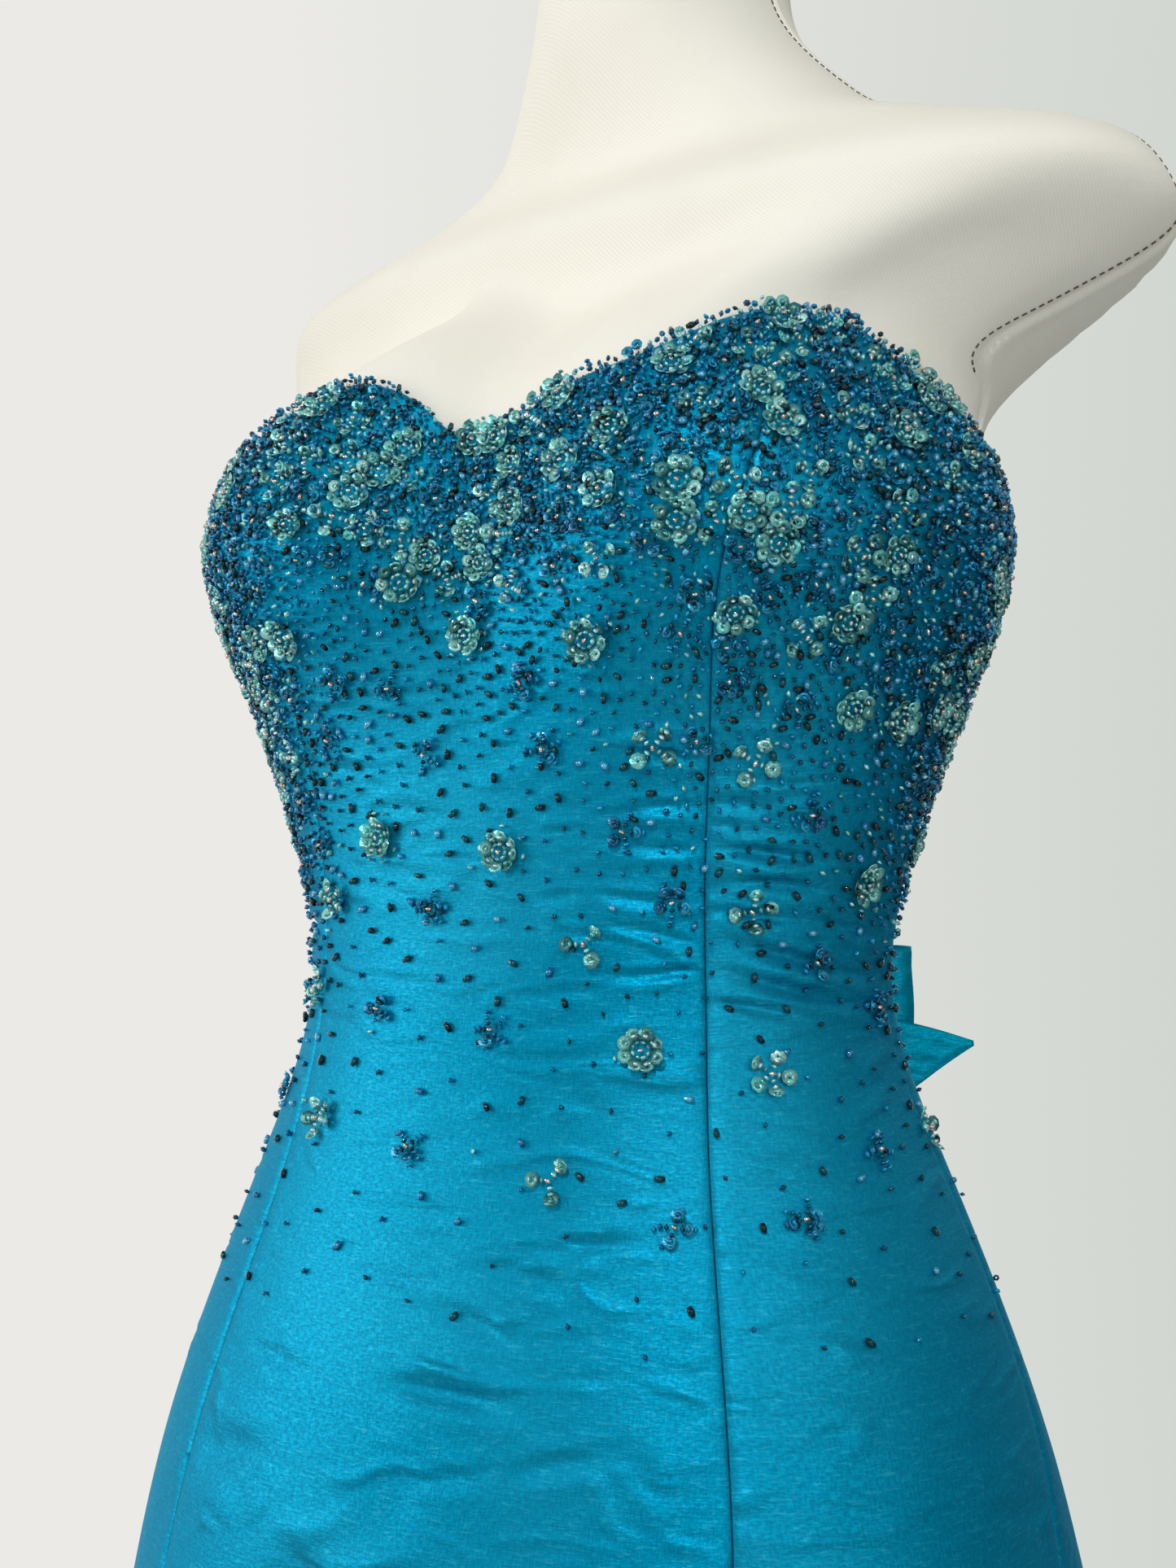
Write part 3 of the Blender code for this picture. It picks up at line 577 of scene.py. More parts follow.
print(f"{len(MAIN_CREASES)} creases placed by hand")

# %% Small crinkles
CrinkleBand = namedtuple("CrinkleBand", "seed count low high length width depth slant")
CRINKLE_BANDS = (
    CrinkleBand(11, 300, -150, 110, (6, 26), (1.3, 2.0), (0.12, 0.42), 9),
    CrinkleBand(12, 170, -1000, -150, (30, 90), (6, 11), (0.5, 1.6), 22),
)
OFF_CENTRE_BACK = 178
CRINKLE_STRONGEST = (0.3, 0.7)
CRINKLE_SAG = 0.6


def small_crinkles(band):
    """Short shallow creases, scattered all round between two heights."""
    draw = np.random.default_rng(band.seed)
    made = []
    for _ in range(band.count):
        angle = draw.uniform(-OFF_CENTRE_BACK, OFF_CENTRE_BACK)
        height = draw.uniform(band.low, band.high)
        length = draw.uniform(*band.length)
        rise = length * math.sin(math.radians(draw.normal(0, band.slant)))
        end_angle = angle + length / millimetres_per_degree(angle, height * MM)
        width = draw.uniform(*band.width)
        depth = draw.uniform(*band.depth)
        strongest = draw.uniform(*CRINKLE_STRONGEST)
        sag = draw.normal(0, CRINKLE_SAG)
        made.append(Crease(angle, height, end_angle, height + rise, width, depth, strongest, sag))
    return made


ALL_CREASES = list(MAIN_CREASES)
for band in CRINKLE_BANDS:
    ALL_CREASES += small_crinkles(band)
print(f"{len(ALL_CREASES)} creases in all")

# %% [markdown]
# ## Taffeta
#
# Taffeta is a crisp plain weave of smooth polyester filament. Its flat threads give it a soft
# metallic lustre, its uneven weft shows as short light streaks, and it crinkles where it was
# handled. Real threads lie 0.2 mm apart, which is finer than a pixel here, so the grain is
# drawn 0.8 mm wide. The pattern follows each piece's own UV map, which is laid out in metres
# along the cloth's grain, so the streaks run level round the body as the weft does.

# %% Taffeta material
TAFFETA_BASE = "0096BC"
TAFFETA_PALE = "34B8D4"
TAFFETA_DEEP = "0080A8"
# The bow is the same taffeta painted lighter: painted light that brightens the bow beyond what the lamps
# give it
BOW_BASE_PAINTED_LIGHTER = "00A2C4"
BOW_PALE_PAINTED_LIGHTER = "34C0D8"
BOW_DEEP_PAINTED_LIGHTER = "0090B2"
TAFFETA_GLINT = "46D2F0"
TAFFETA_SHEEN = "6FCFE4"
NoiseLayer = namedtuple("NoiseLayer", "along_mm across_mm noise_type detail roughness distortion")
TAFFETA_LAYERS = {
    "grain": NoiseLayer(2.2, 0.8, "FBM", 2.0, 0.60, 0.0),
    "warp": NoiseLayer(0.8, 2.6, "FBM", 1.0, 0.50, 0.0),
    "streak": NoiseLayer(6.0, 1.1, "FBM", 2.0, 0.60, 0.4),
    "crinkle": NoiseLayer(42.0, 14.0, "RIDGED_MULTIFRACTAL", 4.0, 0.55, 0.7),
}
PATCH_MM = 120


def per_metre(millimetres):
    """A texture's scale for a feature of this size, where one unit is a metre."""
    return 1000.0 / millimetres


def make_taffeta(name, base, pale, deep):
    """Crisp plain-weave taffeta, drawn on UVs in metres."""
    material, surface = new_material(name)
    cloth_map = add_node(material, "ShaderNodeUVMap", {"uv_map": "cloth"}).outputs[0]
    drawn = {}
    for layer_name, layer in TAFFETA_LAYERS.items():
        scale = (per_metre(layer.along_mm), per_metre(layer.across_mm), 1.0)
        laid = add_node(material, "ShaderNodeMapping", Vector=cloth_map, Scale=scale)
        noise = add_node(
            material,
            "ShaderNodeTexNoise",
            {"noise_dimensions": "2D", "noise_type": layer.noise_type},
            Vector=laid.outputs[0],
            Scale=1.0,
            Detail=layer.detail,
            Roughness=layer.roughness,
            Distortion=layer.distortion,
        )
        drawn[layer_name] = noise.outputs[0]
    patch = add_node(
        material,
        "ShaderNodeTexNoise",
        {"noise_dimensions": "2D"},
        Vector=cloth_map,
        Scale=per_metre(PATCH_MM),
        Detail=1.0,
    )
    threads = add_node(
        material, "ShaderNodeMath", {"operation": "MULTIPLY"}, i0=drawn["grain"], i1=drawn["warp"]
    ).outputs[0]
    tone = colour(deep)
    for pattern, low, high, strongest, over in (
        (threads, 0.12, 0.40, 1.0, base),
        (patch.outputs[0], 0.35, 0.70, 0.14, pale),
        (drawn["streak"], 0.58, 0.76, 0.40, pale),
    ):
        share = add_node(
            material,
            "ShaderNodeMapRange",
            Value=pattern,
            **{"From Min": low, "From Max": high, "To Min": 0.0, "To Max": strongest},
        )
        tone = add_node(
            material, "ShaderNodeMix", {"data_type": "RGBA"}, i0=share.outputs[0], i6=tone, i7=colour(over)
        ).outputs[2]
    gloss = add_node(
        material,
        "ShaderNodeMapRange",
        Value=drawn["grain"],
        **{"From Min": 0.3, "From Max": 0.7, "To Min": 0.57, "To Max": 0.43},
    )
    relief = {}
    for height, strength, deep_mm in (
        (drawn["crinkle"], 0.8, 1.5),
        (drawn["streak"], 0.35, 0.35),
        (threads, 0.5, 0.22),
    ):
        bump = add_node(
            material, "ShaderNodeBump", Height=height, Strength=strength, Distance=deep_mm * MM, **relief
        )
        relief = {"Normal": bump.outputs[0]}
    settings = {
        "Base Color": tone,
        "Roughness": gloss.outputs[0],
        "IOR": 1.55,
        "Metallic": 0.70,
        "Specular IOR Level": 0.35,
        "Specular Tint": colour(TAFFETA_GLINT),
        "Sheen Weight": 0.05,
        "Sheen Roughness": 0.35,
        "Sheen Tint": colour(TAFFETA_SHEEN),
    }
    fill_sockets(material, surface, settings | relief)
    return material


taffeta = make_taffeta("polyester_taffeta_turquoise", TAFFETA_BASE, TAFFETA_PALE, TAFFETA_DEEP)
# The bow's copy has the same make-up in lighter colours, which are painted light on the bow
bow_taffeta_painted_lighter = make_taffeta("polyester_taffeta_painted_lighter", BOW_BASE_PAINTED_LIGHTER, BOW_PALE_PAINTED_LIGHTER, BOW_DEEP_PAINTED_LIGHTER)
print("two shades of taffeta")

# %% [markdown]
# ## The panels
#
# Each panel is a grid of points between two seams, from hem to top edge. A sheet of cloth is
# made in mesh code because its creases need a point every millimetre or two, with more points
# where the cloth turns in at a seam. Rows are close together over the waist and hip, where the
# creases run level, and further apart down the skirt. Solidify then gives the sheet the
# thickness of folded taffeta, inwards, so that it stays clear of the form.

# %% Rows and columns of a panel
VISIBLE_CLOTH = 0.0010
HEM_ROWS = (0.0, 0.0006, 0.0014, 0.0026, 0.0050)
SKIRT_STEP = 0.0092
CREASED_FROM = -0.178
CREASED_TO = 0.100
RowBand = namedtuple("RowBand", "up_to step")
ROW_BANDS = (
    RowBand(-0.160, 0.0030),
    RowBand(-0.070, 0.0020),
    RowBand(-0.012, 0.0024),
    RowBand(0.090, 0.00125),
    RowBand(CREASED_TO, 0.0020),
)
BODICE_ROWS = 38
EDGE_ROWS = (0.0028, 0.0016, 0.0007, 0.0)
SEAM_COLUMNS = (0.0, 0.0004, 0.0009, 0.0016, 0.0027)
SEAM_SEARCH_STEPS = 12

hem_levels = -HEM_BELOW_WAIST + np.array(HEM_ROWS)
skirt_levels = np.linspace(
    hem_levels[-1], CREASED_FROM, int((CREASED_FROM - hem_levels[-1]) / SKIRT_STEP) + 1, endpoint=False
)[1:]
creased_levels = []
for band_from, band in zip((CREASED_FROM, *[band.up_to for band in ROW_BANDS]), ROW_BANDS):
    steps = round((band.up_to - band_from) / band.step)
    creased_levels.extend(np.linspace(band_from, band.up_to, steps, endpoint=False))
LOW_LEVELS = np.concatenate([hem_levels, skirt_levels, creased_levels])
ROW_COUNT = len(LOW_LEVELS) + BODICE_ROWS + len(EDGE_ROWS)


def row_levels(row, angle):
    """The heights of one row's points at these angles."""
    if row < len(LOW_LEVELS):
        return LOW_LEVELS[row] + 0 * angle
    edge = top_edge(angle)
    step = row - len(LOW_LEVELS)
    if step >= BODICE_ROWS:
        return edge - EDGE_ROWS[step - BODICE_ROWS]
    share = (step + 0.5) / BODICE_ROWS
    return CREASED_TO + share * (edge - 2 * EDGE_ROWS[0] - CREASED_TO)


def seam_on_rows(seam, side):
    """The angle of a seam on each row, found by stepping to the height that the row has there."""
    found = []
    for row in range(ROW_COUNT):
        angle = side * seam(0.0)
        for _ in range(SEAM_SEARCH_STEPS):
            angle = side * seam(row_levels(row, angle))
        found.append(float(angle))
    return np.array(found)


LEFT_PRINCESS = seam_on_rows(princess_angle, 1)
LEFT_SIDE = seam_on_rows(side_angle, 1)
RIGHT_PRINCESS = seam_on_rows(princess_angle, -1)
RIGHT_SIDE = seam_on_rows(side_angle, -1)
CENTRE_BACK = np.full(ROW_COUNT, 180.0)

Panel = namedtuple("Panel", "node first_seam last_seam columns grain_shift")
PANELS = (
    Panel("front_centre_panel", RIGHT_PRINCESS, LEFT_PRINCESS, 56, 0.0),
    Panel("side_front_left", LEFT_PRINCESS, LEFT_SIDE, 30, 1.3),
    Panel("side_front_right", RIGHT_SIDE, RIGHT_PRINCESS, 30, 2.7),
    Panel("back_left", LEFT_SIDE, CENTRE_BACK, 48, 4.1),
    Panel("back_right", -CENTRE_BACK, RIGHT_SIDE, 48, 5.6),
)
print(f"{ROW_COUNT} rows in each panel")

# %% Edges that turn in
SEAM_ROLL_DEPTH = 0.0009
SEAM_ROLL_WIDTH = 0.0027
PRESSED_RIDGE = 0.00035
PRESSED_PLACE = 0.0060
PRESSED_WIDTH = 0.0022
EDGE_ROLL_DEPTH = 0.0011
EDGE_ROLL_WIDTH = 0.0028
HEM_FOLD = 0.025
HEM_RIDGE = 0.0006
HEM_RIDGE_WIDTH = 0.004
SEAM_GAP = 0.0001
CREASES_BEGIN = 0.004


def roll(distance, width, depth):
    """How far an edge has turned in at a distance from it."""
    return depth * np.clip(1 - distance / width, 0, 1) ** 2


def panel_grid(panel):
    """Angles, levels and distances to the seams of a panel's points, row by row."""
    near = np.array(SEAM_COLUMNS)
    angles = []
    levels = []
    to_first = []
    to_last = []
    for row in range(ROW_COUNT):
        first = panel.first_seam[row]
        last = panel.last_seam[row]
        ends = np.array([first, last])
        end_levels = row_levels(row, ends)
        degree = np.radians(1) * dress_radius(end_levels, ends)
        gap = SEAM_GAP / 2 / degree
        from_first = first + gap[0] + near / degree[0]
        from_last = last - gap[1] - near[::-1] / degree[1]
        middle = np.linspace(from_first[-1], from_last[0], panel.columns + 1)[1:-1]
        row_angles = np.concatenate([from_first, middle, from_last])
        angles.append(row_angles)
        levels.append(row_levels(row, row_angles))
        to_first.append((row_angles - first) * degree[0])
        to_last.append((last - row_angles) * degree[1])
    return [np.array(rows) for rows in (angles, levels, to_first, to_last)]


def edge_shape(levels, angles, to_first, to_last):
    """How far the cloth stands in or out at its seams, its hem and its top edge."""
    seam = np.minimum(to_first, to_last)
    shape = -roll(seam, SEAM_ROLL_WIDTH, SEAM_ROLL_DEPTH)
    shape += PRESSED_RIDGE * bell(seam - PRESSED_PLACE, PRESSED_WIDTH)
    shape -= roll(top_edge(angles) - levels, EDGE_ROLL_WIDTH, EDGE_ROLL_DEPTH)
    above_hem = levels + HEM_BELOW_WAIST
    shape -= roll(above_hem, EDGE_ROLL_WIDTH, EDGE_ROLL_DEPTH)
    shape += HEM_RIDGE * bell(above_hem - HEM_FOLD, HEM_RIDGE_WIDTH)
    return shape


def grid_faces(rows, columns):
    """The four-sided faces of a grid of points that is stored row by row."""
    start = (np.arange(rows - 1)[:, None] * columns + np.arange(columns - 1)[None, :]).ravel()
    return np.stack([start, start + 1, start + columns + 1, start + columns], axis=1).tolist()


def add_cloth_map(mesh, u, v):
    """Stores a UV map in metres, one pair for each point."""
    layer = mesh.uv_layers.new(name="cloth")
    corners = np.empty(len(mesh.loops), np.int64)
    mesh.loops.foreach_get("vertex_index", corners)
    pairs = np.stack([u.ravel()[corners], v.ravel()[corners]], axis=1)
    layer.data.foreach_set("uv", pairs.astype(np.float32).ravel())


# %% Build the five panels
def build_panel(panel):
    """One cut piece of the dress, as a creased sheet on its solid's form."""
    angles, levels, to_first, to_last = panel_grid(panel)
    here, _, _, out = smooth_cloth(levels, angles)
    creased = soft_step(np.minimum(to_first, to_last) / CREASES_BEGIN)
    rise = crease_rise(levels, angles, ALL_CREASES) * creased
    rise += edge_shape(levels, angles, to_first, to_last)
    points = here + out * rise[..., None]
    name = panel.node + "_taffeta"
    piece = add_piece(name, points.reshape(-1, 3), grid_faces(*angles.shape), taffeta)
    grain_u = np.radians(angles - angles.mean()) * dress_radius(levels, angles)
    add_cloth_map(piece.data, grain_u + panel.grain_shift, levels)
    apply_modifier(piece, "SOLIDIFY", thickness=VISIBLE_CLOTH, offset=-1.0, use_even_offset=False)
    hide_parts(panel.node)


for panel in PANELS:
    build_panel(panel)

# %% [markdown]
# ## The bow
#
# A bow of the same taffeta sits on the centre-back seam at the waist: two open loops, two tails
# with slanted ends, and a knot round their roots. Each loop and tail is a band that follows a
# path. Gathers spread from the knot and die out along the band, because the cloth is squeezed
# only where the knot holds it. The band's edges are folded, so they are a little thicker.

# %% Loops and tails
BOW_HEIGHT = WAIST - 0.010
BOW_CLOTH = 0.0012
BOW_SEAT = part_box("bow_knot")[0].y
LOOP_REACH = 0.088
LOOP_ROOT_HEIGHT = 0.026
LOOP_WIDTH = 0.048
LOOP_FLARE = 0.5
TAIL_REACH = 0.113
BAND_STEPS = 70
BAND_COLUMNS = 20
GATHER_DEPTH = 0.0016
GATHER_COUNT = 4.3
GATHERS_END = 0.75
TAIL_GATHER_SHARE = 0.35
BAND_RIM = 0.0035
BAND_RIM_WIDTH = 0.0012

LoopPoint = namedtuple("LoopPoint", "step reach behind")
LOOP_PATH = (
    LoopPoint(0, 0.15, 0.0105),
    LoopPoint(1, 0.36, 0.0045),
    LoopPoint(2, 0.60, 0.0060),
    LoopPoint(3, 0.82, 0.0100),
    LoopPoint(4, 0.95, 0.0150),
    LoopPoint(5, 1.00, 0.0220),
    LoopPoint(6, 0.95, 0.0285),
    LoopPoint(7, 0.82, 0.0320),
    LoopPoint(8, 0.60, 0.0310),
    LoopPoint(9, 0.36, 0.0260),
    LoopPoint(10, 0.15, 0.0165),
)
TailPoint = namedtuple("TailPoint", "step reach behind lower upper")
TAIL_PATH = (
    TailPoint(0, 0.12, 0.0058, -0.012, 0.006),
    TailPoint(1, 0.21, 0.0022, -0.020, 0.007),
    TailPoint(2, 0.42, 0.0012, -0.029, 0.004),
    TailPoint(3, 0.62, 0.0024, -0.035, 0.000),
    TailPoint(4, 0.76, 0.0080, -0.036, -0.004),
    TailPoint(5, 0.88, 0.0170, -0.026, -0.008),
    TailPoint(6, 1.00, 0.0260, -0.0150, -0.0130),
)


def build_band(name, side, reach, ahead, behind, low, high, gathers):
    """A band of cloth standing on edge along a path, gathered where the knot holds it."""
    across = np.linspace(0, 1, BAND_COLUMNS)[None, :]
    height = low[:, None] + (high - low)[:, None] * across
    path = np.stack([reach, behind], axis=1)
    along = unit(np.gradient(path, axis=0))
    beside = np.stack([along[:, 1], -along[:, 0]], axis=1)
    ahead = ahead[:, None]
    fading = 1 - soft_step((ahead - ahead.min()) / GATHERS_END)
    # Two waves of unlike size are the gathers, and a third one bends the free cloth slowly
    waves = np.sin(2 * math.pi * GATHER_COUNT * (across + 0.05 * np.sin(7 * ahead)) + 0.9)
    waves += 0.5 * np.sin(2 * math.pi * 2.1 * GATHER_COUNT * across + 2.0 + 3 * ahead)
    slow = 0.35 * np.sin(2 * math.pi * across + 5 * ahead)
    push = gathers * (fading * waves * np.sin(math.pi * across) ** 0.4 + slow * (1 - fading))
    rim = np.minimum(across, 1 - across) * (high - low)[:, None]
    push += PRESSED_RIDGE * bell(rim - BAND_RIM, BAND_RIM_WIDTH)
    x = side * (reach[:, None] + beside[:, 0, None] * push)
    y = BOW_SEAT + behind[:, None] + beside[:, 1, None] * push
    points = np.stack([x, y, BOW_HEIGHT + height], axis=-1)
    piece = add_piece(name, points.reshape(-1, 3), grid_faces(*height.shape), bow_taffeta_painted_lighter)
    length = np.concatenate([[0], np.cumsum(np.linalg.norm(np.diff(path, axis=0), axis=1))])
    add_cloth_map(piece.data, length[:, None] + 0 * height, height + 3.1 * side)
    apply_modifier(piece, "SOLIDIFY", thickness=BOW_CLOTH, offset=0.0, use_even_offset=False)
    return piece, points


def finish_bow_piece(node):
    """Hides the solid of a bow piece, whose cloth is made in its place."""
    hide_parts(node)


bow_steps = np.linspace(0, 1, BAND_STEPS)
loop_reach, loop_behind = columns_of(LOOP_PATH)
tail_reach, tail_behind, tail_lower, tail_upper = columns_of(TAIL_PATH)
for side_name, side in (("left", 1), ("right", -1)):
    at = bow_steps * LOOP_PATH[-1].step
    share = loop_reach(at)
    flared = soft_step((share - share.min()) / LOOP_FLARE)
    spread = LOOP_ROOT_HEIGHT + (LOOP_WIDTH - LOOP_ROOT_HEIGHT) * flared
    loop, loop_points = build_band(
        f"bow_loop_{side_name}_taffeta",
        side,
        LOOP_REACH * share,
        share,
        loop_behind(at),
        -spread / 2,
        spread / 2,
        GATHER_DEPTH,
    )
    finish_bow_piece("bow_loop_" + side_name)
    at = bow_steps * TAIL_PATH[-1].step
    share = tail_reach(at)
    tail, tail_points = build_band(
        f"bow_tail_{side_name}_taffeta",
        side,
        TAIL_REACH * share,
        share,
        tail_behind(at),
        tail_lower(at),
        tail_upper(at),
        GATHER_DEPTH * TAIL_GATHER_SHARE,
    )
    finish_bow_piece("bow_tail_" + side_name)

# %% Knot
KNOT_WIDTH = 0.026
KNOT_HEIGHT = 0.034
KNOT_DEPTH = 0.024
KNOT_ROUNDNESS = 3.4
KNOT_STEPS = 56
KNOT_COLUMNS = 28
KNOT_EDGE_ROLL = 0.0042
KNOT_EDGE_WIDTH = 0.0050
KNOT_FOLD = 0.0009
MERGE_DISTANCE = 0.00001


def build_knot():
    """A band wrapped once round the middle of the bow, with soft folds and its edges turned in."""
    turn = np.linspace(0, 2 * math.pi, KNOT_STEPS)[:, None]
    across = np.linspace(-0.5, 0.5, KNOT_COLUMNS)[None, :]
    deep = np.abs(np.cos(turn) / (KNOT_DEPTH / 2)) ** KNOT_ROUNDNESS
    tall = np.abs(np.sin(turn) / (KNOT_HEIGHT / 2)) ** KNOT_ROUNDNESS
    radius = (deep + tall) ** (-1 / KNOT_ROUNDNESS)
    from_edge = (0.5 - np.abs(across)) * KNOT_WIDTH
    folds = np.sin(2 * math.pi * 2.6 * across + 0.8 * np.sin(turn + 0.6) + 0.4)
    folds += 0.5 * np.sin(2 * math.pi * 5.3 * across + 1.1 * np.cos(2 * turn))
    inward = roll(from_edge, KNOT_EDGE_WIDTH, KNOT_EDGE_ROLL) + KNOT_FOLD * (1.2 - folds)
    radius = radius - inward
    x = KNOT_WIDTH * across + 0 * turn
    y = BOW_SEAT + KNOT_DEPTH / 2 + radius * np.cos(turn)
    points = np.stack([x, y, BOW_HEIGHT + radius * np.sin(turn)], axis=-1)
    faces = grid_faces(KNOT_STEPS, KNOT_COLUMNS)
    piece = add_piece("bow_knot_taffeta", points.reshape(-1, 3), faces, bow_taffeta_painted_lighter)
    around = np.concatenate([[0], np.cumsum(np.linalg.norm(np.diff(points[:, 0], axis=0), axis=1))])
    add_cloth_map(piece.data, x, around[:, None] + 0 * x)
    apply_modifier(piece, "WELD", merge_threshold=MERGE_DISTANCE)
    apply_modifier(piece, "SOLIDIFY", thickness=BOW_CLOTH, offset=-1.0, use_even_offset=False)
    finish_bow_piece("bow_knot")


build_knot()

# %% [markdown]
# ## Jersey
#
# The form is padded and covered in cream cotton jersey, a weft knit with fine ribs that run
# slantwise where it is stretched over the shoulder. Its surface is matt with a short fuzz.

# %% Jersey and thread materials
JERSEY_LIGHT = "F0EDE4"
JERSEY_GROOVE_PAINTED_SHADE = "EAE6DC"
# Painted shade for the grooves between the ribs
JERSEY_DARK = "DFDACE"
JERSEY_FUZZ = "FFF6E6"
STITCH_DARK = "3A332C"
STITCH_LIGHT = "6B6156"
COIL_DARK = "00789C"
COIL_LIGHT = "2AA6C6"
RIB_MM = 0.95
RIB_SCALE = 2 * math.pi / (10 * math.sqrt(3) * RIB_MM * MM)
FUZZ_MM = 0.7
SOILING_MM = 60
TWIST_MM = 0.5
TWIST_SCALE = math.pi / (10 * TWIST_MM * MM)


def make_jersey():
    """Matt cotton jersey with slanting ribs about a millimetre wide."""
    material, surface = new_material("cotton_jersey_cream")
    where = add_node(material, "ShaderNodeTexCoord").outputs["Object"]
    ribs = add_node(
        material,
        "ShaderNodeTexWave",
        {"wave_type": "BANDS", "bands_direction": "DIAGONAL"},
        Vector=where,
        Scale=RIB_SCALE,
        Distortion=1.2,
        Detail=2.0,
    )
    fuzz = add_node(
        material, "ShaderNodeTexNoise", Vector=where, Scale=per_metre(FUZZ_MM), Detail=3.0, Roughness=0.7
    )
    soiling = add_node(
        material, "ShaderNodeTexNoise", Vector=where, Scale=per_metre(SOILING_MM), Detail=2.0
    )
    # The grooves between the ribs are painted a little darker, on the same waves as the rib bump: painted
    # shade in the grooves
    rib_tone_painted_shade = add_node(
        material,
        "ShaderNodeMix",
        {"data_type": "RGBA"},
        i0=ribs.outputs[1],
        i6=colour(JERSEY_GROOVE_PAINTED_SHADE),
        i7=colour(JERSEY_LIGHT),
    )
    soiled_share = add_node(
        material,
        "ShaderNodeMapRange",
        Value=soiling.outputs[0],
        **{"From Min": 0.45, "From Max": 0.75, "To Min": 0.0, "To Max": 0.30},
    )
    soiled = add_node(
        material,
        "ShaderNodeMix",
        {"data_type": "RGBA"},
        i0=soiled_share.outputs[0],
        i6=rib_tone_painted_shade.outputs[2],
        i7=colour(JERSEY_DARK),
    )
    ribbed = add_node(material, "ShaderNodeBump", Height=ribs.outputs[1], Strength=0.2, Distance=0.06 * MM)
    fuzzed = add_node(
        material,
        "ShaderNodeBump",
        Height=fuzz.outputs[0],
        Strength=0.6,
        Distance=0.25 * MM,
        Normal=ribbed.outputs[0],
    )
    settings = {
        "Base Color": soiled.outputs[2],
        "Normal": fuzzed.outputs[0],
        "Roughness": 0.92,
        "Specular IOR Level": 0.2,
        "Sheen Weight": 0.35,
        "Sheen Roughness": 0.6,
        "Sheen Tint": colour(JERSEY_FUZZ),
    }
    fill_sockets(material, surface, settings)
    return material


def make_thread(name, dark, light):
    """Twisted thread, half a millimetre from one turn to the next."""
    material, surface = new_material(name)
    where = add_node(material, "ShaderNodeTexCoord").outputs["Object"]
    twist = add_node(material, "ShaderNodeTexWave", Vector=where, Scale=TWIST_SCALE, Distortion=1.0)
    tone = add_node(
        material,
        "ShaderNodeMix",
        {"data_type": "RGBA"},
        i0=twist.outputs[1],
        i6=colour(dark),
        i7=colour(light),
    )
    fill_sockets(material, surface, {"Base Color": tone.outputs[2], "Roughness": 0.8})
    return material


jersey = make_jersey()
cotton_thread = make_thread("cotton_thread_dark", STITCH_DARK, STITCH_LIGHT)
nylon_coil = make_thread("nylon_coil_turquoise", COIL_DARK, COIL_LIGHT)
print("jersey, cotton thread and nylon coil")

# %% [markdown]
# ## The form
#
# The form is one closed skin: a torso that fills the dress, shoulders and a neck cut off level.
# It is turned a little inside the dress, as the photograph shows. Its jersey cover is sewn along
# the side of the neck and over the shoulder, with a raised edge behind the seam and a row of
# dark stitches. Rows are 3.5 mm apart where the form shows and far apart under the cloth.

# %% Sections of the form
FORM_TURN = 12.0
FORM_ROUNDNESS = 2.1
FORM_BLEND_HEIGHT = 0.055
FORM_TORSO_TOP = 0.260
FORM_BOTTOM = -0.265
FORM_TOP = 0.450
FORM_UNDER_EDGE = CAD_CLOTH + 0.0005
FORM_UNDER_CREASES = 0.0018
FORM_CREASES_FROM = 0.015
FORM_CREASES_FULL = 0.025
FormSection = namedtuple("FormSection", "above_waist half_width front_depth back_depth centre_back")
FORM_SECTIONS = (
    FormSection(0.190, 0.163, 0.080, 0.083, 0.020),
    FormSection(0.240, 0.203, 0.076, 0.075, 0.036),
    FormSection(0.262, 0.216, 0.074, 0.070, 0.044),
    FormSection(0.278, 0.2145, 0.072, 0.067, 0.041),
    FormSection(0.292, 0.205, 0.069, 0.062, 0.040),
    FormSection(0.305, 0.184, 0.066, 0.055, 0.051),
    FormSection(0.316, 0.155, 0.063, 0.052, 0.059),
    FormSection(0.330, 0.106, 0.060, 0.052, 0.058),
    FormSection(0.346, 0.079, 0.058, 0.053, 0.052),
    FormSection(0.372, 0.056, 0.054, 0.054, 0.042),
    FormSection(0.410, 0.046, 0.053, 0.053, 0.041),
    FormSection(0.450, 0.046, 0.053, 0.053, 0.042),
)
FORM_SEAM = (
    # The seam's height, and its angle round the form's own middle
    SeamPoint(0.150, 108.0),
    SeamPoint(0.196, 106.7),
    SeamPoint(0.216, 104.5),
    SeamPoint(0.226, 99.5),
    SeamPoint(0.241, 97.0),
    SeamPoint(0.251, 95.8),
    SeamPoint(0.290, 92.5),
    SeamPoint(0.330, 91.5),
    SeamPoint(0.386, 97.0),
    SeamPoint(FORM_TOP, 97.0),
)
form_wide, form_front, form_back, form_lean = columns_of(FORM_SECTIONS)
form_seam = columns_of(FORM_SEAM)[0]


def form_surface(level, angle):
    """The form's skin: just inside the cloth up to the top edge, then its own turned shape."""
    own_angle = angle + FORM_TURN
    radius = oval_radius(own_angle, form_wide(level), form_front(level), form_back(level), FORM_ROUNDNESS)
    own = place(radius, own_angle, level, form_lean(level))
    turn = math.radians(-FORM_TURN)
    x = own[..., 0] * math.cos(turn) - own[..., 1] * math.sin(turn)
    y = own[..., 0] * math.sin(turn) + own[..., 1] * math.cos(turn)
    own = np.stack([x, y, own[..., 2]], axis=-1)
    covered = np.minimum(level, FORM_TORSO_TOP)
    here, _, _, out = smooth_cloth(covered, angle)
    below_edge = top_edge(angle) - level
    under_creases = soft_step((below_edge - FORM_CREASES_FROM) / FORM_CREASES_FULL)
    depth = FORM_UNDER_EDGE + FORM_UNDER_CREASES * under_creases
    under = here - out * depth[..., None]
    under[..., 2] += level - covered
    share = soft_step((level - top_edge(angle)) / FORM_BLEND_HEIGHT)[..., None]
    return under + (own - under) * share


print(f"form from {WAIST + FORM_BOTTOM:.3f} to {WAIST + FORM_TOP:.3f} m")

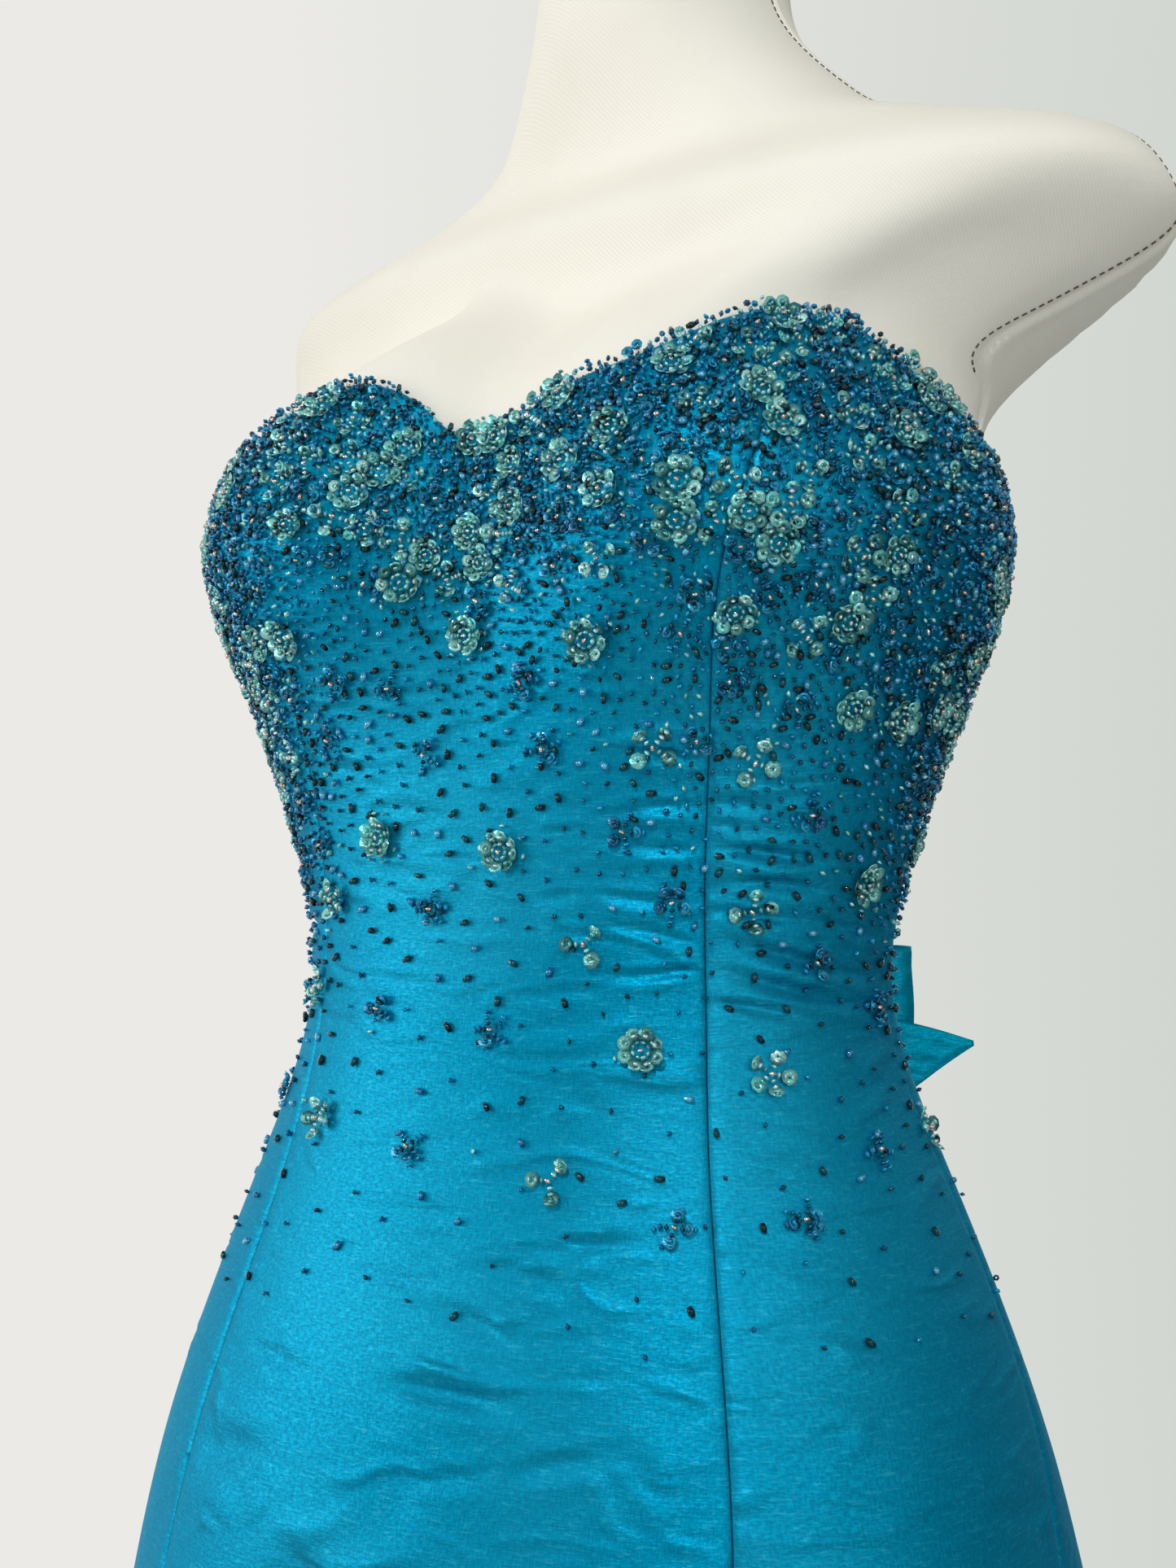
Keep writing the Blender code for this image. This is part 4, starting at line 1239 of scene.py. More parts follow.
# %% Build the form's cover
HIDDEN_ROWS = 14
SHOWN_ROWS = 86
HIDDEN_BELOW_EDGE = 0.012
FORM_COLUMNS = 150
BESIDE_FORM_SEAM = np.array([0.22, 0.45, 0.75, 1.15, 1.7, 2.4, 3.4])
FORM_SEAM_COLUMNS = np.concatenate([-BESIDE_FORM_SEAM[::-1], [0.0], BESIDE_FORM_SEAM])
FORM_GROOVE = 0.0009
FORM_GROOVE_WIDTH = 0.0010
FORM_WELT = 0.0008
FORM_WELT_PLACE = 0.0030
FORM_WELT_WIDTH = 0.0018
FORM_SEAM_BEGINS = 0.02
NECK_ROLL = 0.005
NECK_ROLL_ROWS = 6
NECK_LID_SHARES = (0.85, 0.5, 0.15)


def form_angles(level):
    """One ring's angles in the dress's own terms, with close columns on both side seams."""
    seam = float(form_seam(level))
    left = seam - FORM_TURN
    right = -seam - FORM_TURN
    near = FORM_SEAM_COLUMNS
    gap = near[-1]
    front = np.linspace(right + gap, left - gap, FORM_COLUMNS // 2 + 1)[1:-1]
    back = np.linspace(left + gap, right + 360 - gap, FORM_COLUMNS // 2 + 1)[1:-1]
    return np.concatenate([right + near, front, left + near, back])


def surface_out(level, angle):
    """The direction straight out of the form."""
    around = form_surface(level, angle + NORMAL_TURN) - form_surface(level, angle - NORMAL_TURN)
    up = form_surface(level + NORMAL_RISE, angle) - form_surface(level - NORMAL_RISE, angle)
    return unit(np.cross(around, up))


def build_form():
    """The whole cover of the form, with its sewn seams and its closed neck and underside."""
    rings = []
    ring_angles = form_angles(0.0)
    lowest_edge = float(top_edge(ring_angles).min())
    hidden = np.linspace(FORM_BOTTOM, lowest_edge - HIDDEN_BELOW_EDGE, HIDDEN_ROWS)
    shown = np.linspace(hidden[-1], FORM_TOP - NECK_ROLL, SHOWN_ROWS)[1:]
    for level in np.concatenate([hidden, shown]):
        angles = form_angles(level)
        levels = np.full(len(angles), level)
        points = form_surface(levels, angles)
        turn = turn_between(angles + FORM_TURN, 0)
        beside = (np.abs(turn) - float(form_seam(level))) * np.radians(1)
        beside = beside * np.linalg.norm(points[:, :2], axis=1)
        shape = -FORM_GROOVE * np.exp(-((beside / FORM_GROOVE_WIDTH) ** 2))
        shape += FORM_WELT * np.exp(-(((beside - FORM_WELT_PLACE) / FORM_WELT_WIDTH) ** 2))
        shape *= soft_step((level - FORM_BOTTOM) / FORM_SEAM_BEGINS)
        rings.append(points + surface_out(levels, angles) * shape[:, None])
    middle = rings[-1].mean(axis=0)
    top = rings[-1]
    for step in range(1, NECK_ROLL_ROWS + 1):
        turn = math.pi / 2 * step / NECK_ROLL_ROWS
        inward = unit((middle - top) * [1, 1, 0]) * NECK_ROLL * (1 - math.cos(turn))
        rings.append(top + inward + np.array([0, 0, NECK_ROLL * math.sin(turn)]))
    for share in NECK_LID_SHARES:
        rings.append(middle + np.array([0, 0, NECK_ROLL]) + (rings[-1] - rings[-1].mean(axis=0)) * share)
    ring_size = len(ring_angles)
    start = (np.arange(len(rings) - 1)[:, None] * ring_size + np.arange(ring_size)[None, :]).ravel()
    after = start + 1 - ring_size * (start % ring_size == ring_size - 1)
    faces = np.stack([start, after, after + ring_size, start + ring_size], axis=1).tolist()
    faces.append(list(reversed(range(ring_size))))
    faces.append(list(range((len(rings) - 1) * ring_size, len(rings) * ring_size)))
    piece = add_piece("dress_form_jersey", np.concatenate(rings), faces, jersey)
    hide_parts("dress_form")
    print(f"{piece.name}: {triangle_count(piece)} triangles")


build_form()

# %% [markdown]
# ### Stitches and zip
#
# The form's cover is sewn with dark cotton thread, whose stitches show in a row before the seam.
# The dress closes down the centre back with a concealed zip: its nylon coil lies behind the two
# folded edges, from the slider to below the hip. Both are rows of small bars along a path.

# %% Stitches of the cover and coil of the zip
STITCH_PITCH = 0.0032
STITCH_SIZE = (0.0018, 0.0005, 0.0004)
STITCH_BESIDE = 0.0022
STITCHES_FROM = 0.222
COIL_PITCH = 0.0012
COIL_SIZE = (0.0007, 0.0042, 0.0006)
COIL_DEPTH = 0.0030
COIL_TOP_BELOW_EDGE = 0.040
COIL_BOTTOM = -0.190
PATH_STEPS = 400
BAR_FACES = ((0, 1, 3, 2), (4, 6, 7, 5), (0, 4, 5, 1), (2, 3, 7, 6), (0, 2, 6, 4), (1, 5, 7, 3))


def evenly_along(path, pitch):
    """Points one pitch apart along a path, and the path's direction at each."""
    run = np.concatenate([[0], np.cumsum(np.linalg.norm(np.diff(path, axis=0), axis=1))])
    at = np.arange(pitch / 2, run[-1], pitch)
    here, ahead = (
        np.stack([np.interp(place_at, run, path[:, axis]) for axis in range(3)], axis=-1)
        for place_at in (at - pitch / 4, at + pitch / 4)
    )
    return (here + ahead) / 2, unit(ahead - here)


def build_bars(name, centres, along, out, size, material):
    """Small bars joined in one mesh, each one along the path with its foot on the surface."""
    across = unit(np.cross(along, out))
    length, width, height = size
    corners = []
    for a in (-0.5, 0.5):
        for b in (-0.5, 0.5):
            for c in (0.0, 1.0):
                corners.append(centres + along * a * length + across * b * width + out * c * height)
    points = np.stack(corners, axis=1).reshape(-1, 3)
    starts = np.arange(len(centres)) * len(corners)
    faces = (np.array(BAR_FACES)[None] + starts[:, None, None]).reshape(-1, 4)
    piece = add_piece(name, points, faces.tolist(), material)
    print(f"{name}: {len(centres)} bars, {triangle_count(piece)} triangles")


seam_paths = []
for side in (1, -1):
    seam_levels = np.linspace(STITCHES_FROM, FORM_TOP - NECK_ROLL, PATH_STEPS)
    seam_turns = side * form_seam(seam_levels) - FORM_TURN
    on_seam = form_surface(seam_levels, seam_turns)
    beside = np.degrees(STITCH_BESIDE / np.linalg.norm(on_seam[:, :2], axis=1))
    seam_turns = seam_turns - side * beside
    middles, along = evenly_along(form_surface(seam_levels, seam_turns), STITCH_PITCH)
    facing = surface_out(middles[:, 2] - WAIST, np.interp(middles[:, 2] - WAIST, seam_levels, seam_turns))
    seam_paths.append((middles, along, facing))
middles, along, facing = (np.concatenate(parts) for parts in zip(*seam_paths))
build_bars("cover_stitches", middles, along, facing, STITCH_SIZE, cotton_thread)

coil_levels = np.linspace(COIL_BOTTOM, float(top_edge(180.0)) - COIL_TOP_BELOW_EDGE, PATH_STEPS)
here, _, _, out = smooth_cloth(coil_levels, np.full(PATH_STEPS, 180.0))
middles, along = evenly_along(here - out * COIL_DEPTH, COIL_PITCH)
facing = unit(np.cross(along, np.array([-1.0, 0.0, 0.0])))
build_bars("zip_coil", middles, along, facing, COIL_SIZE, nylon_coil)

# %% [markdown]
# ## Beads and sequins
#
# All the beading is sewn on by hand, and it is of a few kinds only: round seed beads and short
# six-sided bugles of lined glass, each about 2.4 mm across, and cupped sequins of clear plastic,
# 5.4 mm across, held down by a bead. Each kind is modelled once. Thousands of copies are then
# turned and placed on the creased cloth by numpy, and joined to one mesh for each colour.

# %% Models of one bead and one sequin
# Sizes are in millimetres
SEED_RADIUS = 0.58
SEED_TUBE = 0.66
SEED_STRETCH = 1.35
BUGLE_RADIUS = 0.76
BUGLE_TUBE = 0.42
BUGLE_STRETCH = 3.9
SEQUIN_RADIUS = 1.20
SEQUIN_TUBE = 1.50
SEQUIN_FLATTEN = 0.08
SEQUIN_CUP = 0.90


def ring_model(radius, tube, steps, tube_steps, stretch, cup=0.0):
    """Points and faces of a ring about its hole, stretched along the hole and cupped."""
    deselect_all()
    bpy.ops.mesh.primitive_torus_add(
        major_radius=radius, minor_radius=tube, major_segments=steps, minor_segments=tube_steps
    )
    ring = bpy.context.object
    bpy.ops.object.mode_set(mode="EDIT")
    bpy.ops.mesh.select_all(action="SELECT")
    bpy.ops.transform.resize(value=(1, 1, stretch))
    bpy.ops.object.mode_set(mode="OBJECT")
    points = np.array([vertex.co for vertex in ring.data.vertices])
    faces = np.array([polygon.vertices for polygon in ring.data.polygons])
    bpy.data.objects.remove(ring)
    from_hole = np.hypot(points[:, 0], points[:, 1]) / (radius + tube)
    points[:, 2] += cup * from_hole**2
    return points, faces


seed_model = ring_model(SEED_RADIUS, SEED_TUBE, 6, 3, SEED_STRETCH)
bugle_model = ring_model(BUGLE_RADIUS, BUGLE_TUBE, 6, 4, BUGLE_STRETCH)
sequin_model = ring_model(SEQUIN_RADIUS, SEQUIN_TUBE, 8, 3, SEQUIN_FLATTEN, SEQUIN_CUP)
bead_faces = [len(model[1]) for model in (seed_model, bugle_model, sequin_model)]
print("faces of a seed bead, a bugle and a sequin:", *bead_faces)

# %% [markdown]
# ### Glass and sequin film
#
# The beads are pressed soda glass with a bright lining in the hole, so they shine like metal
# through a coloured gloss. The sequins are clear polyester film. A few have a real rainbow
# coating, and their near-white colour is a painted glint.
# Each copy carries its own tone, from 0 to 1, so that no two neighbours are quite the same.

# %% Glass materials
TONE_STREAK_MM = 1.2
STREAK_IN_TONE = 0.25


def make_glass(name, dark, light, clear, lining, film):
    """Coloured glass: clear is how far it lets light through, lining how far it shines as metal."""
    material, surface = new_material(name)
    tone = add_node(material, "ShaderNodeAttribute", {"attribute_name": "tone"}).outputs["Fac"]
    where = add_node(material, "ShaderNodeTexCoord").outputs["Object"]
    streaks = add_node(
        material, "ShaderNodeTexNoise", Vector=where, Scale=per_metre(TONE_STREAK_MM), Detail=2.0
    ).outputs[0]
    mixed = add_node(
        material, "ShaderNodeMix", {"data_type": "FLOAT"}, i0=STREAK_IN_TONE, i2=tone, i3=streaks
    )
    shade = add_node(
        material,
        "ShaderNodeMix",
        {"data_type": "RGBA"},
        i0=mixed.outputs[0],
        i6=colour(dark),
        i7=colour(light),
    )
    ripple = add_node(material, "ShaderNodeBump", Height=streaks, Strength=0.25, Distance=0.15 * MM)
    settings = {
        "Base Color": shade.outputs[2],
        "Normal": ripple.outputs[0],
        "Roughness": 0.07,
        "IOR": 1.52,
        "Transmission Weight": clear,
        "Metallic": lining,
        "Coat Weight": 0.3,
        "Coat Roughness": 0.04,
        "Thin Film Thickness": film,
    }
    fill_sockets(material, surface, settings)
    return material


BeadKind = namedtuple("BeadKind", "model dark light clear lining film")
RAINBOW_FILM_NM = 420.0
BEAD_KINDS = {
    "aqua_sequins": BeadKind(sequin_model, "00787E", "A0F8F0", 0.28, 0.34, 0.0),
    "blue_sequins": BeadKind(sequin_model, "005C8C", "18B8E4", 0.15, 0.35, 0.0),
    # Rainbow-coated sequins painted near white: a painted glint on a real coating
    "glint_painted_sequins": BeadKind(sequin_model, "64E4E4", "D0FFF8", 0.05, 0.5, RAINBOW_FILM_NM),
    "aqua_beads": BeadKind(seed_model, "00888A", "C0FFFA", 0.10, 0.45, 0.0),
    "clear_beads": BeadKind(seed_model, "48C4BC", "FFFFFF", 0.15, 0.55, 0.0),
    "blue_beads": BeadKind(seed_model, "004A7C", "10A8DC", 0.05, 0.45, 0.0),
    "navy_beads": BeadKind(seed_model, "001822", "006488", 0.0, 0.40, 0.0),
    "dark_bugles": BeadKind(bugle_model, "000A0E", "145460", 0.0, 0.50, 0.0),
    "blue_bugles": BeadKind(bugle_model, "0870A4", "6CC0E4", 0.05, 0.55, 0.0),
    "rose_centres": BeadKind(seed_model, "C8A898", "FFF4EC", 0.0, 0.90, 0.0),
}
glass = {kind: make_glass("glass_" + kind, *settings[1:]) for kind, settings in BEAD_KINDS.items()}
print(f"{len(glass)} kinds of beads and sequins")

# %% [markdown]
# ### Flowers
#
# Three flowers come again and again: a round one of eight clear sequins, an open one with three
# to five short stalks, and a small deep blue one. The lower ones, which stand alone, are placed
# where the photograph shows such a flower; higher up they crowd each other at random.
# Reaches and heights are in millimetres, headings and leans in degrees.

# %% Flower patterns
TRUE_ROUND = "round"
OPEN_CROSS = "cross"
DEEP_BLUE = "blue"
BEAD_SEED = 5
TONE_EXTREMES = 0.55
SPOT_SIZES = (0.92, 1.08)
# Shares of petals and stalks whose sequins are painted near white as glints
GLINT_PAINTED_PETALS = 0.14
GLINT_PAINTED_STALKS = 0.32
OUTER_BEADS = 0.6
SEQUIN_ARMS = 0.55
LONG_ARMS = 0.8
Spot = namedtuple("Spot", "kind angle level height heading lean size tone")
spots = []
draw = np.random.default_rng(BEAD_SEED)


def add_spot(kind, centre, reach, heading, height, lean=0.0, size=1.0):
    """One bead or sequin at a distance and heading from a flower's centre."""
    angle, level, degree = centre
    turn = math.radians(heading)
    spots.append(
        Spot(
            kind,
            angle + reach * math.cos(turn) / degree,
            level + reach * math.sin(turn) * MM,
            height,
            heading,
            lean,
            size * draw.uniform(*SPOT_SIZES),
            draw.beta(TONE_EXTREMES, TONE_EXTREMES),
        )
    )


def add_round_flower(centre, size):
    """Eight cupped sequins round a lined bead, with two beads along each and one beyond most."""
    first = draw.uniform(0, 45)
    for petal in range(8):
        heading = first + 45 * petal + draw.normal(0, 4)
        petal_kind = "glint_painted_sequins" if draw.random() < GLINT_PAINTED_PETALS else "aqua_sequins"
        add_spot(petal_kind, centre, 5.7 * size, heading, 1.3 + 0.5 * (petal % 2), draw.normal(62, 8), size)
        add_spot("aqua_beads", centre, 2.6 * size, heading, 2.0, draw.normal(10, 8), 0.92 * size)
        add_spot("clear_beads", centre, 4.9 * size, heading, 2.6, draw.normal(5, 10), 0.85 * size)
        if draw.random() < OUTER_BEADS:
            add_spot("aqua_beads", centre, 9.0 * size, heading + draw.normal(0, 5), 1.2, 0.0, 0.9 * size)
    add_spot("rose_centres", centre, 0.0, draw.uniform(0, 360), 2.6, 20.0, 1.05 * size)


def add_cross_flower(centre, size):
    """Three to five stalks of two clear beads, each with a tilted sequin at its end."""
    stalks = int(draw.choice([3, 4, 4, 5]))
    first = draw.uniform(0, 360)
    for stalk in range(stalks):
        heading = first + 360 / stalks * stalk + draw.normal(0, 9)
        petal_kind = "glint_painted_sequins" if draw.random() < GLINT_PAINTED_STALKS else "aqua_sequins"
        add_spot("aqua_beads", centre, 2.5 * size, heading, 1.8, 8.0, size)
        add_spot("clear_beads", centre, 4.5 * size, heading, 2.1, 0.0, size)
        add_spot(petal_kind, centre, 6.3 * size, heading, 1.5, draw.normal(60, 12), 1.05 * size)
        add_spot("aqua_beads", centre, 6.9 * size, heading, 2.8, 30.0, 0.95 * size)
    add_spot("rose_centres", centre, 0.3, draw.uniform(0, 360), 2.5, 10.0, 1.25 * size)


def add_blue_flower(centre, size):
    """Four to six short arms of blue beads and sequins round a lined bead."""
    arms = int(draw.choice([4, 5, 5, 6]))
    first = draw.uniform(0, 360)
    for arm in range(arms):
        heading = first + 360 / arms * arm + draw.normal(0, 9)
        add_spot("navy_beads", centre, 2.4 * size, heading, 1.8, 0.0, size)
        if draw.random() < SEQUIN_ARMS:
            add_spot("blue_sequins", centre, 4.3 * size, heading, 1.3, draw.normal(62, 12), 0.9 * size)
            add_spot("blue_beads", centre, 4.4 * size, heading, 2.4, 10.0, size)
        else:
            add_spot("blue_beads", centre, 4.4 * size, heading, 1.5, 0.0, size)
        if draw.random() < LONG_ARMS:
            add_spot("blue_beads", centre, 6.4 * size, heading + draw.normal(0, 6), 1.2, 0.0, size)
    add_spot("rose_centres", centre, 0.2, draw.uniform(0, 360), 2.4, 10.0, 1.15 * size)


FLOWER_MAKERS = {TRUE_ROUND: add_round_flower, OPEN_CROSS: add_cross_flower, DEEP_BLUE: add_blue_flower}
FLOWER_REACH_MM = {TRUE_ROUND: 9.0, OPEN_CROSS: 7.5, DEEP_BLUE: 6.8}
print("three flower patterns")

# %% Where the beads lie
# Each flower's angle round the dress, in degrees, and its height above the waist, in millimetres
HAND_PLACED = {
    TRUE_ROUND: (
        (28, 124), (7, 53), (-28, 58), (38, -13), (-17, 148), (-41, 131), (80, 42), (41, 172),
    ),
    OPEN_CROSS: (
        (27, 22), (21, -56), (58, 33), (60, -21), (40, 88), (56, 83), (-39, -44), (-44, 35), (-51, 2),
        (95, -46),
    ),
    DEEP_BLUE: (
        (1, 140), (13, 111), (18, 88), (-14, 87), (35, 60), (44, 36), (-12, 33), (-26, -3), (6, -8),
        (-12, -49), (42, -69), (61, -67), (77, -48), (87, -2), (71, 15), (66, 66), (-34, 114), (-22, 111),
        (-39, 94), (-53, 72), (43, 125), (-68, -2), (-75, 40), (-84, -50), (-62, -38), (-80, 78),
    ),
}
Spacing = namedtuple("Spacing", "below_edge beads flowers")
FRONT_SPACING = (
    Spacing(-5, 2.15, 9.5),
    Spacing(50, 2.3, 10.0),
    Spacing(66, 3.3, 14.0),
    Spacing(88, 4.5, 34.0),
    Spacing(110, 6.2, 300.0),
    Spacing(160, 9.0, 300.0),
    Spacing(230, 12.5, 300.0),
    Spacing(300, 18.0, 300.0),
)
SIDE_SPACING = (
    Spacing(-5, 2.15, 9.5),
    Spacing(105, 2.35, 10.5),
    Spacing(130, 2.8, 15.0),
    Spacing(160, 3.6, 25.0),
    Spacing(195, 5.4, 300.0),
    Spacing(225, 8.0, 300.0),
    Spacing(262, 11.5, 300.0),
    Spacing(330, 16.0, 300.0),
)
LOWEST_BEAD = -0.108
BACK_DROP = 2.8
BACK_THINNING = 1.15
FLOWER_SHARES = (0.22, 0.20, 0.58)
BARE_SHARE = 0.52
SINGLE_HEIGHT_MM = 1.05
HIGHEST_PILE_MM = 1.3
CROWD_SIZES = (0.74, 0.98)
HAND_CLEARANCE_MM = 12.0
BUST_SHARE = 0.45
SEAM_BARE_MM = 2.2
SEAM_SPACING = 4.2
SINGLE_SIZES = (0.88, 1.1)
SINGLE_LEAN = 14
MEAN_PILE_MM = 0.45
CROWDED_BELOW_MM = 6.0
CROWDED_OVER_MM = 3.0
FLOWERS_BELOW_EDGE = 0.002
BEADS_OVER_EDGE = 0.0012
CANDIDATES = 300000
FLOWER_CANDIDATES = 24000
NONE_WANTED_MM = 100
AngleRamp = namedtuple("AngleRamp", "begins over")
ROUND_THE_BUST = AngleRamp(10, 22)
ROUND_THE_SIDE = AngleRamp(34, 14)
ROUND_THE_BACK = AngleRamp(96, 22)


def table_value(table, column, place_at):
    """A straight-line reading between the rows of a table."""
    return np.interp(place_at, [row[0] for row in table], [row[column] for row in table])


def ramp_share(off_front, ramp):
    """Goes from 0 to 1 as the angle from the front passes along a ramp."""
    return soft_step((off_front - ramp.begins) / ramp.over)


def wanted_spacing(angle, level, column):
    """How far apart beads (column 1) or flowers (column 2) lie, in millimetres."""
    off_front = np.abs(turn_between(angle, 0))
    below = (top_edge(angle) - level) / MM
    at_back = ramp_share(off_front, ROUND_THE_BACK)
    below = below * (1 + (BACK_DROP - 1) * at_back)
    at_side = BUST_SHARE * ramp_share(off_front, ROUND_THE_BUST)
    at_side += (1 - BUST_SHARE) * ramp_share(off_front, ROUND_THE_SIDE)
    front = table_value(FRONT_SPACING, column, below)
    side = table_value(SIDE_SPACING, column, below)
    spacing = front + (side - front) * at_side * (1 - at_back)
    spacing = spacing * (1 + (BACK_THINNING - 1) * at_back)
    if column == 1:
        off_seam = np.abs(off_front - princess_angle(level))
        seam = off_seam * np.radians(1) * dress_radius(level, angle) / MM
        spacing = np.where(seam < SEAM_BARE_MM, np.maximum(spacing, SEAM_SPACING), spacing)
    return spacing


def scatter(count, column, taken, taken_reach, over_edge):
    """Seeded places that keep their wanted spacing from each other and stay off the places taken."""
    angle = draw.uniform(-180, 180, count)
    highest = top_edge(angle) + over_edge
    level = LOWEST_BEAD + (highest - LOWEST_BEAD) * draw.uniform(0, 1, count)
    spacing = wanted_spacing(angle, level, column)
    tried = draw.uniform(0, 1, count) < (spacing.min() / spacing) ** 2
    angle, level, spacing = angle[tried], level[tried], spacing[tried]
    points = place(dress_radius(level, angle), angle, level) / MM
    count = len(angle)
    free = np.ones(count, bool)
    for centre, reach in zip(taken, taken_reach):
        free &= np.linalg.norm(points - centre, axis=1) > reach
    kept = np.empty((count, 3))
    chosen = []
    for i in np.flatnonzero(free & (spacing < NONE_WANTED_MM)):
        near = kept[: len(chosen)] - points[i]
        if not len(chosen) or (near * near).sum(axis=1).min() > spacing[i] ** 2:
            kept[len(chosen)] = points[i]
            chosen.append(i)
    return angle[chosen], level[chosen], points[chosen]


flowers = []
for kind, places in HAND_PLACED.items():
    for angle, height in places:
        flowers.append((kind, float(angle), height * MM, 1.0))
hand_angles = np.array([flower[1] for flower in flowers])
hand_levels = np.array([flower[2] for flower in flowers])
hand_points = place(dress_radius(hand_levels, hand_angles), hand_angles, hand_levels) / MM
hand_reaches = [HAND_CLEARANCE_MM] * len(flowers)
crowd = scatter(FLOWER_CANDIDATES, 2, hand_points, hand_reaches, -FLOWERS_BELOW_EDGE)
for angle, level in zip(crowd[0], crowd[1]):
    kind = str(draw.choice([TRUE_ROUND, OPEN_CROSS, DEEP_BLUE], p=FLOWER_SHARES))
    flowers.append((kind, float(angle), float(level), draw.uniform(*CROWD_SIZES)))
flower_points = np.concatenate([hand_points, crowd[2]])
for kind, angle, level, size in flowers:
    FLOWER_MAKERS[kind]((angle, level, millimetres_per_degree(angle, level)), size)
in_flowers = len(spots)

reaches = [FLOWER_REACH_MM[flower[0]] * flower[3] * BARE_SHARE for flower in flowers]
single_angles, single_levels, _ = scatter(CANDIDATES, 1, flower_points, reaches, BEADS_OVER_EDGE)
single_kinds = ["navy_beads", "blue_beads", "dark_bugles", "blue_bugles", "aqua_beads"]
SPARSE_SHARES = np.array([0.42, 0.18, 0.27, 0.11, 0.02])
DENSE_SHARES = np.array([0.30, 0.36, 0.12, 0.08, 0.14])
for angle, level in zip(single_angles, single_levels):
    closeness = (CROWDED_BELOW_MM - wanted_spacing(angle, level, 1)) / CROWDED_OVER_MM
    crowding = float(soft_step(closeness))
    chances = SPARSE_SHARES + (DENSE_SHARES - SPARSE_SHARES) * crowding
    kind = str(draw.choice(single_kinds, p=chances / chances.sum()))
    height = SINGLE_HEIGHT_MM + min(crowding * draw.exponential(MEAN_PILE_MM), HIGHEST_PILE_MM)
    heading = draw.uniform(0, 360)
    lean = draw.normal(0, SINGLE_LEAN)
    size = draw.uniform(*SINGLE_SIZES)
    tone = draw.beta(TONE_EXTREMES, TONE_EXTREMES)
    spots.append(Spot(kind, angle, level, height, heading, lean, size, tone))
print(f"{len(flowers)} flowers of {in_flowers} pieces, and {len(spots) - in_flowers} single beads")

# %% Place every bead on the cloth
def build_beads(kind):
    """One mesh of all the beads of a kind, each at its own place, heading, lean, size and tone."""
    mine = [spot for spot in spots if spot.kind == kind]
    angle, level, height, heading, lean, size, tone = np.array([spot[1:] for spot in mine]).T
    here, around, up, out = smooth_cloth(level, angle)
    lift = crease_rise(level, angle, ALL_CREASES) + height * MM
    centre = here + out * lift[:, None]
    heading = np.radians(heading)[:, None]
    lean = np.radians(lean)[:, None]
    along = np.cos(heading) * around + np.sin(heading) * up
    inward = -1.0 if kind.endswith("sequins") else 1.0
    hole = unit(inward * np.cos(lean) * along + np.sin(lean) * out)
    side = unit(np.cross(hole, along + 0.01 * out))
    third = np.cross(hole, side)
    points, faces = BEAD_KINDS[kind].model
    axes = np.stack([side, third, hole], axis=1)
    turned = np.einsum("pa,bac->bpc", points, axes) * (size * MM)[:, None, None]
    starts = np.arange(len(mine)) * len(points)
    all_faces = (faces[None] + starts[:, None, None]).reshape(-1, faces.shape[1])
    piece = add_piece(kind, (centre[:, None] + turned).reshape(-1, 3), all_faces.tolist(), glass[kind])
    tones = piece.data.attributes.new("tone", "FLOAT", "POINT")
    tones.data.foreach_set("value", np.repeat(tone, len(points)).astype(np.float32))
    print(f"{kind}: {len(mine)}, {triangle_count(piece)} triangles")


for kind in BEAD_KINDS:
    build_beads(kind)

# %% [markdown]
# ## Steel stand and zip
#
# The stand is mild steel, turned and brushed round its axis, then lacquered clear. The zip's
# slider and pull tab are die-cast zinc with a nickel plating, rubbed bright on their edges. The
# solids of these pieces have the right shape already, so they keep it and get a real material.

# %% Metals
STEEL_COLOUR = "A9ABAC"
STEEL_SCRATCH = "8C8E90"
NICKEL_COLOUR = "C3BFB6"
NICKEL_WORN = "A8A49B"
STEEL_BRUSH_MM = (8, 8, 0.35)
NICKEL_BRUSH_MM = (0.6, 0.6, 0.6)
SMUDGE_MM = 40
SMUDGE_ROUGHER = 0.12


def make_metal(name, base, worn, brush_mm, roughness):
    """A metal with fine brush marks that lie level round an upright axis."""
    material, surface = new_material(name)
    where = add_node(material, "ShaderNodeTexCoord").outputs["Object"]
    scale = [per_metre(size) for size in brush_mm]
    brush_map = add_node(material, "ShaderNodeMapping", Vector=where, Scale=scale)
    brush = add_node(
        material, "ShaderNodeTexNoise", Vector=brush_map.outputs[0], Scale=1.0, Detail=3.0
    ).outputs[0]
    smudge = add_node(material, "ShaderNodeTexNoise", Vector=where, Scale=per_metre(SMUDGE_MM), Detail=2.0)
    tone = add_node(
        material, "ShaderNodeMix", {"data_type": "RGBA"}, i0=brush, i6=colour(worn), i7=colour(base)
    )
    gloss = add_node(
        material,
        "ShaderNodeMapRange",
        Value=smudge.outputs[0],
        **{"From Min": 0.3, "From Max": 0.7, "To Min": roughness, "To Max": roughness + SMUDGE_ROUGHER},
    )
    marks = add_node(material, "ShaderNodeBump", Height=brush, Strength=0.25, Distance=0.05 * MM)
    settings = {
        "Base Color": tone.outputs[2],
        "Roughness": gloss.outputs[0],
        "Normal": marks.outputs[0],
        "Metallic": 1.0,
    }
    fill_sockets(material, surface, settings)
    return material


steel = make_metal("mild_steel_brushed", STEEL_COLOUR, STEEL_SCRATCH, STEEL_BRUSH_MM, 0.28)
nickel = make_metal("zinc_nickel_plated", NICKEL_COLOUR, NICKEL_WORN, NICKEL_BRUSH_MM, 0.22)
FINISHES = {"stand_base": steel, "stand_pole": steel, "zip_slider": nickel, "zip_pull": nickel}
for node, finish in FINISHES.items():
    for material_slot in nodes[node].material_slots:
        material_slot.material = finish
print("finished:", ", ".join(FINISHES))

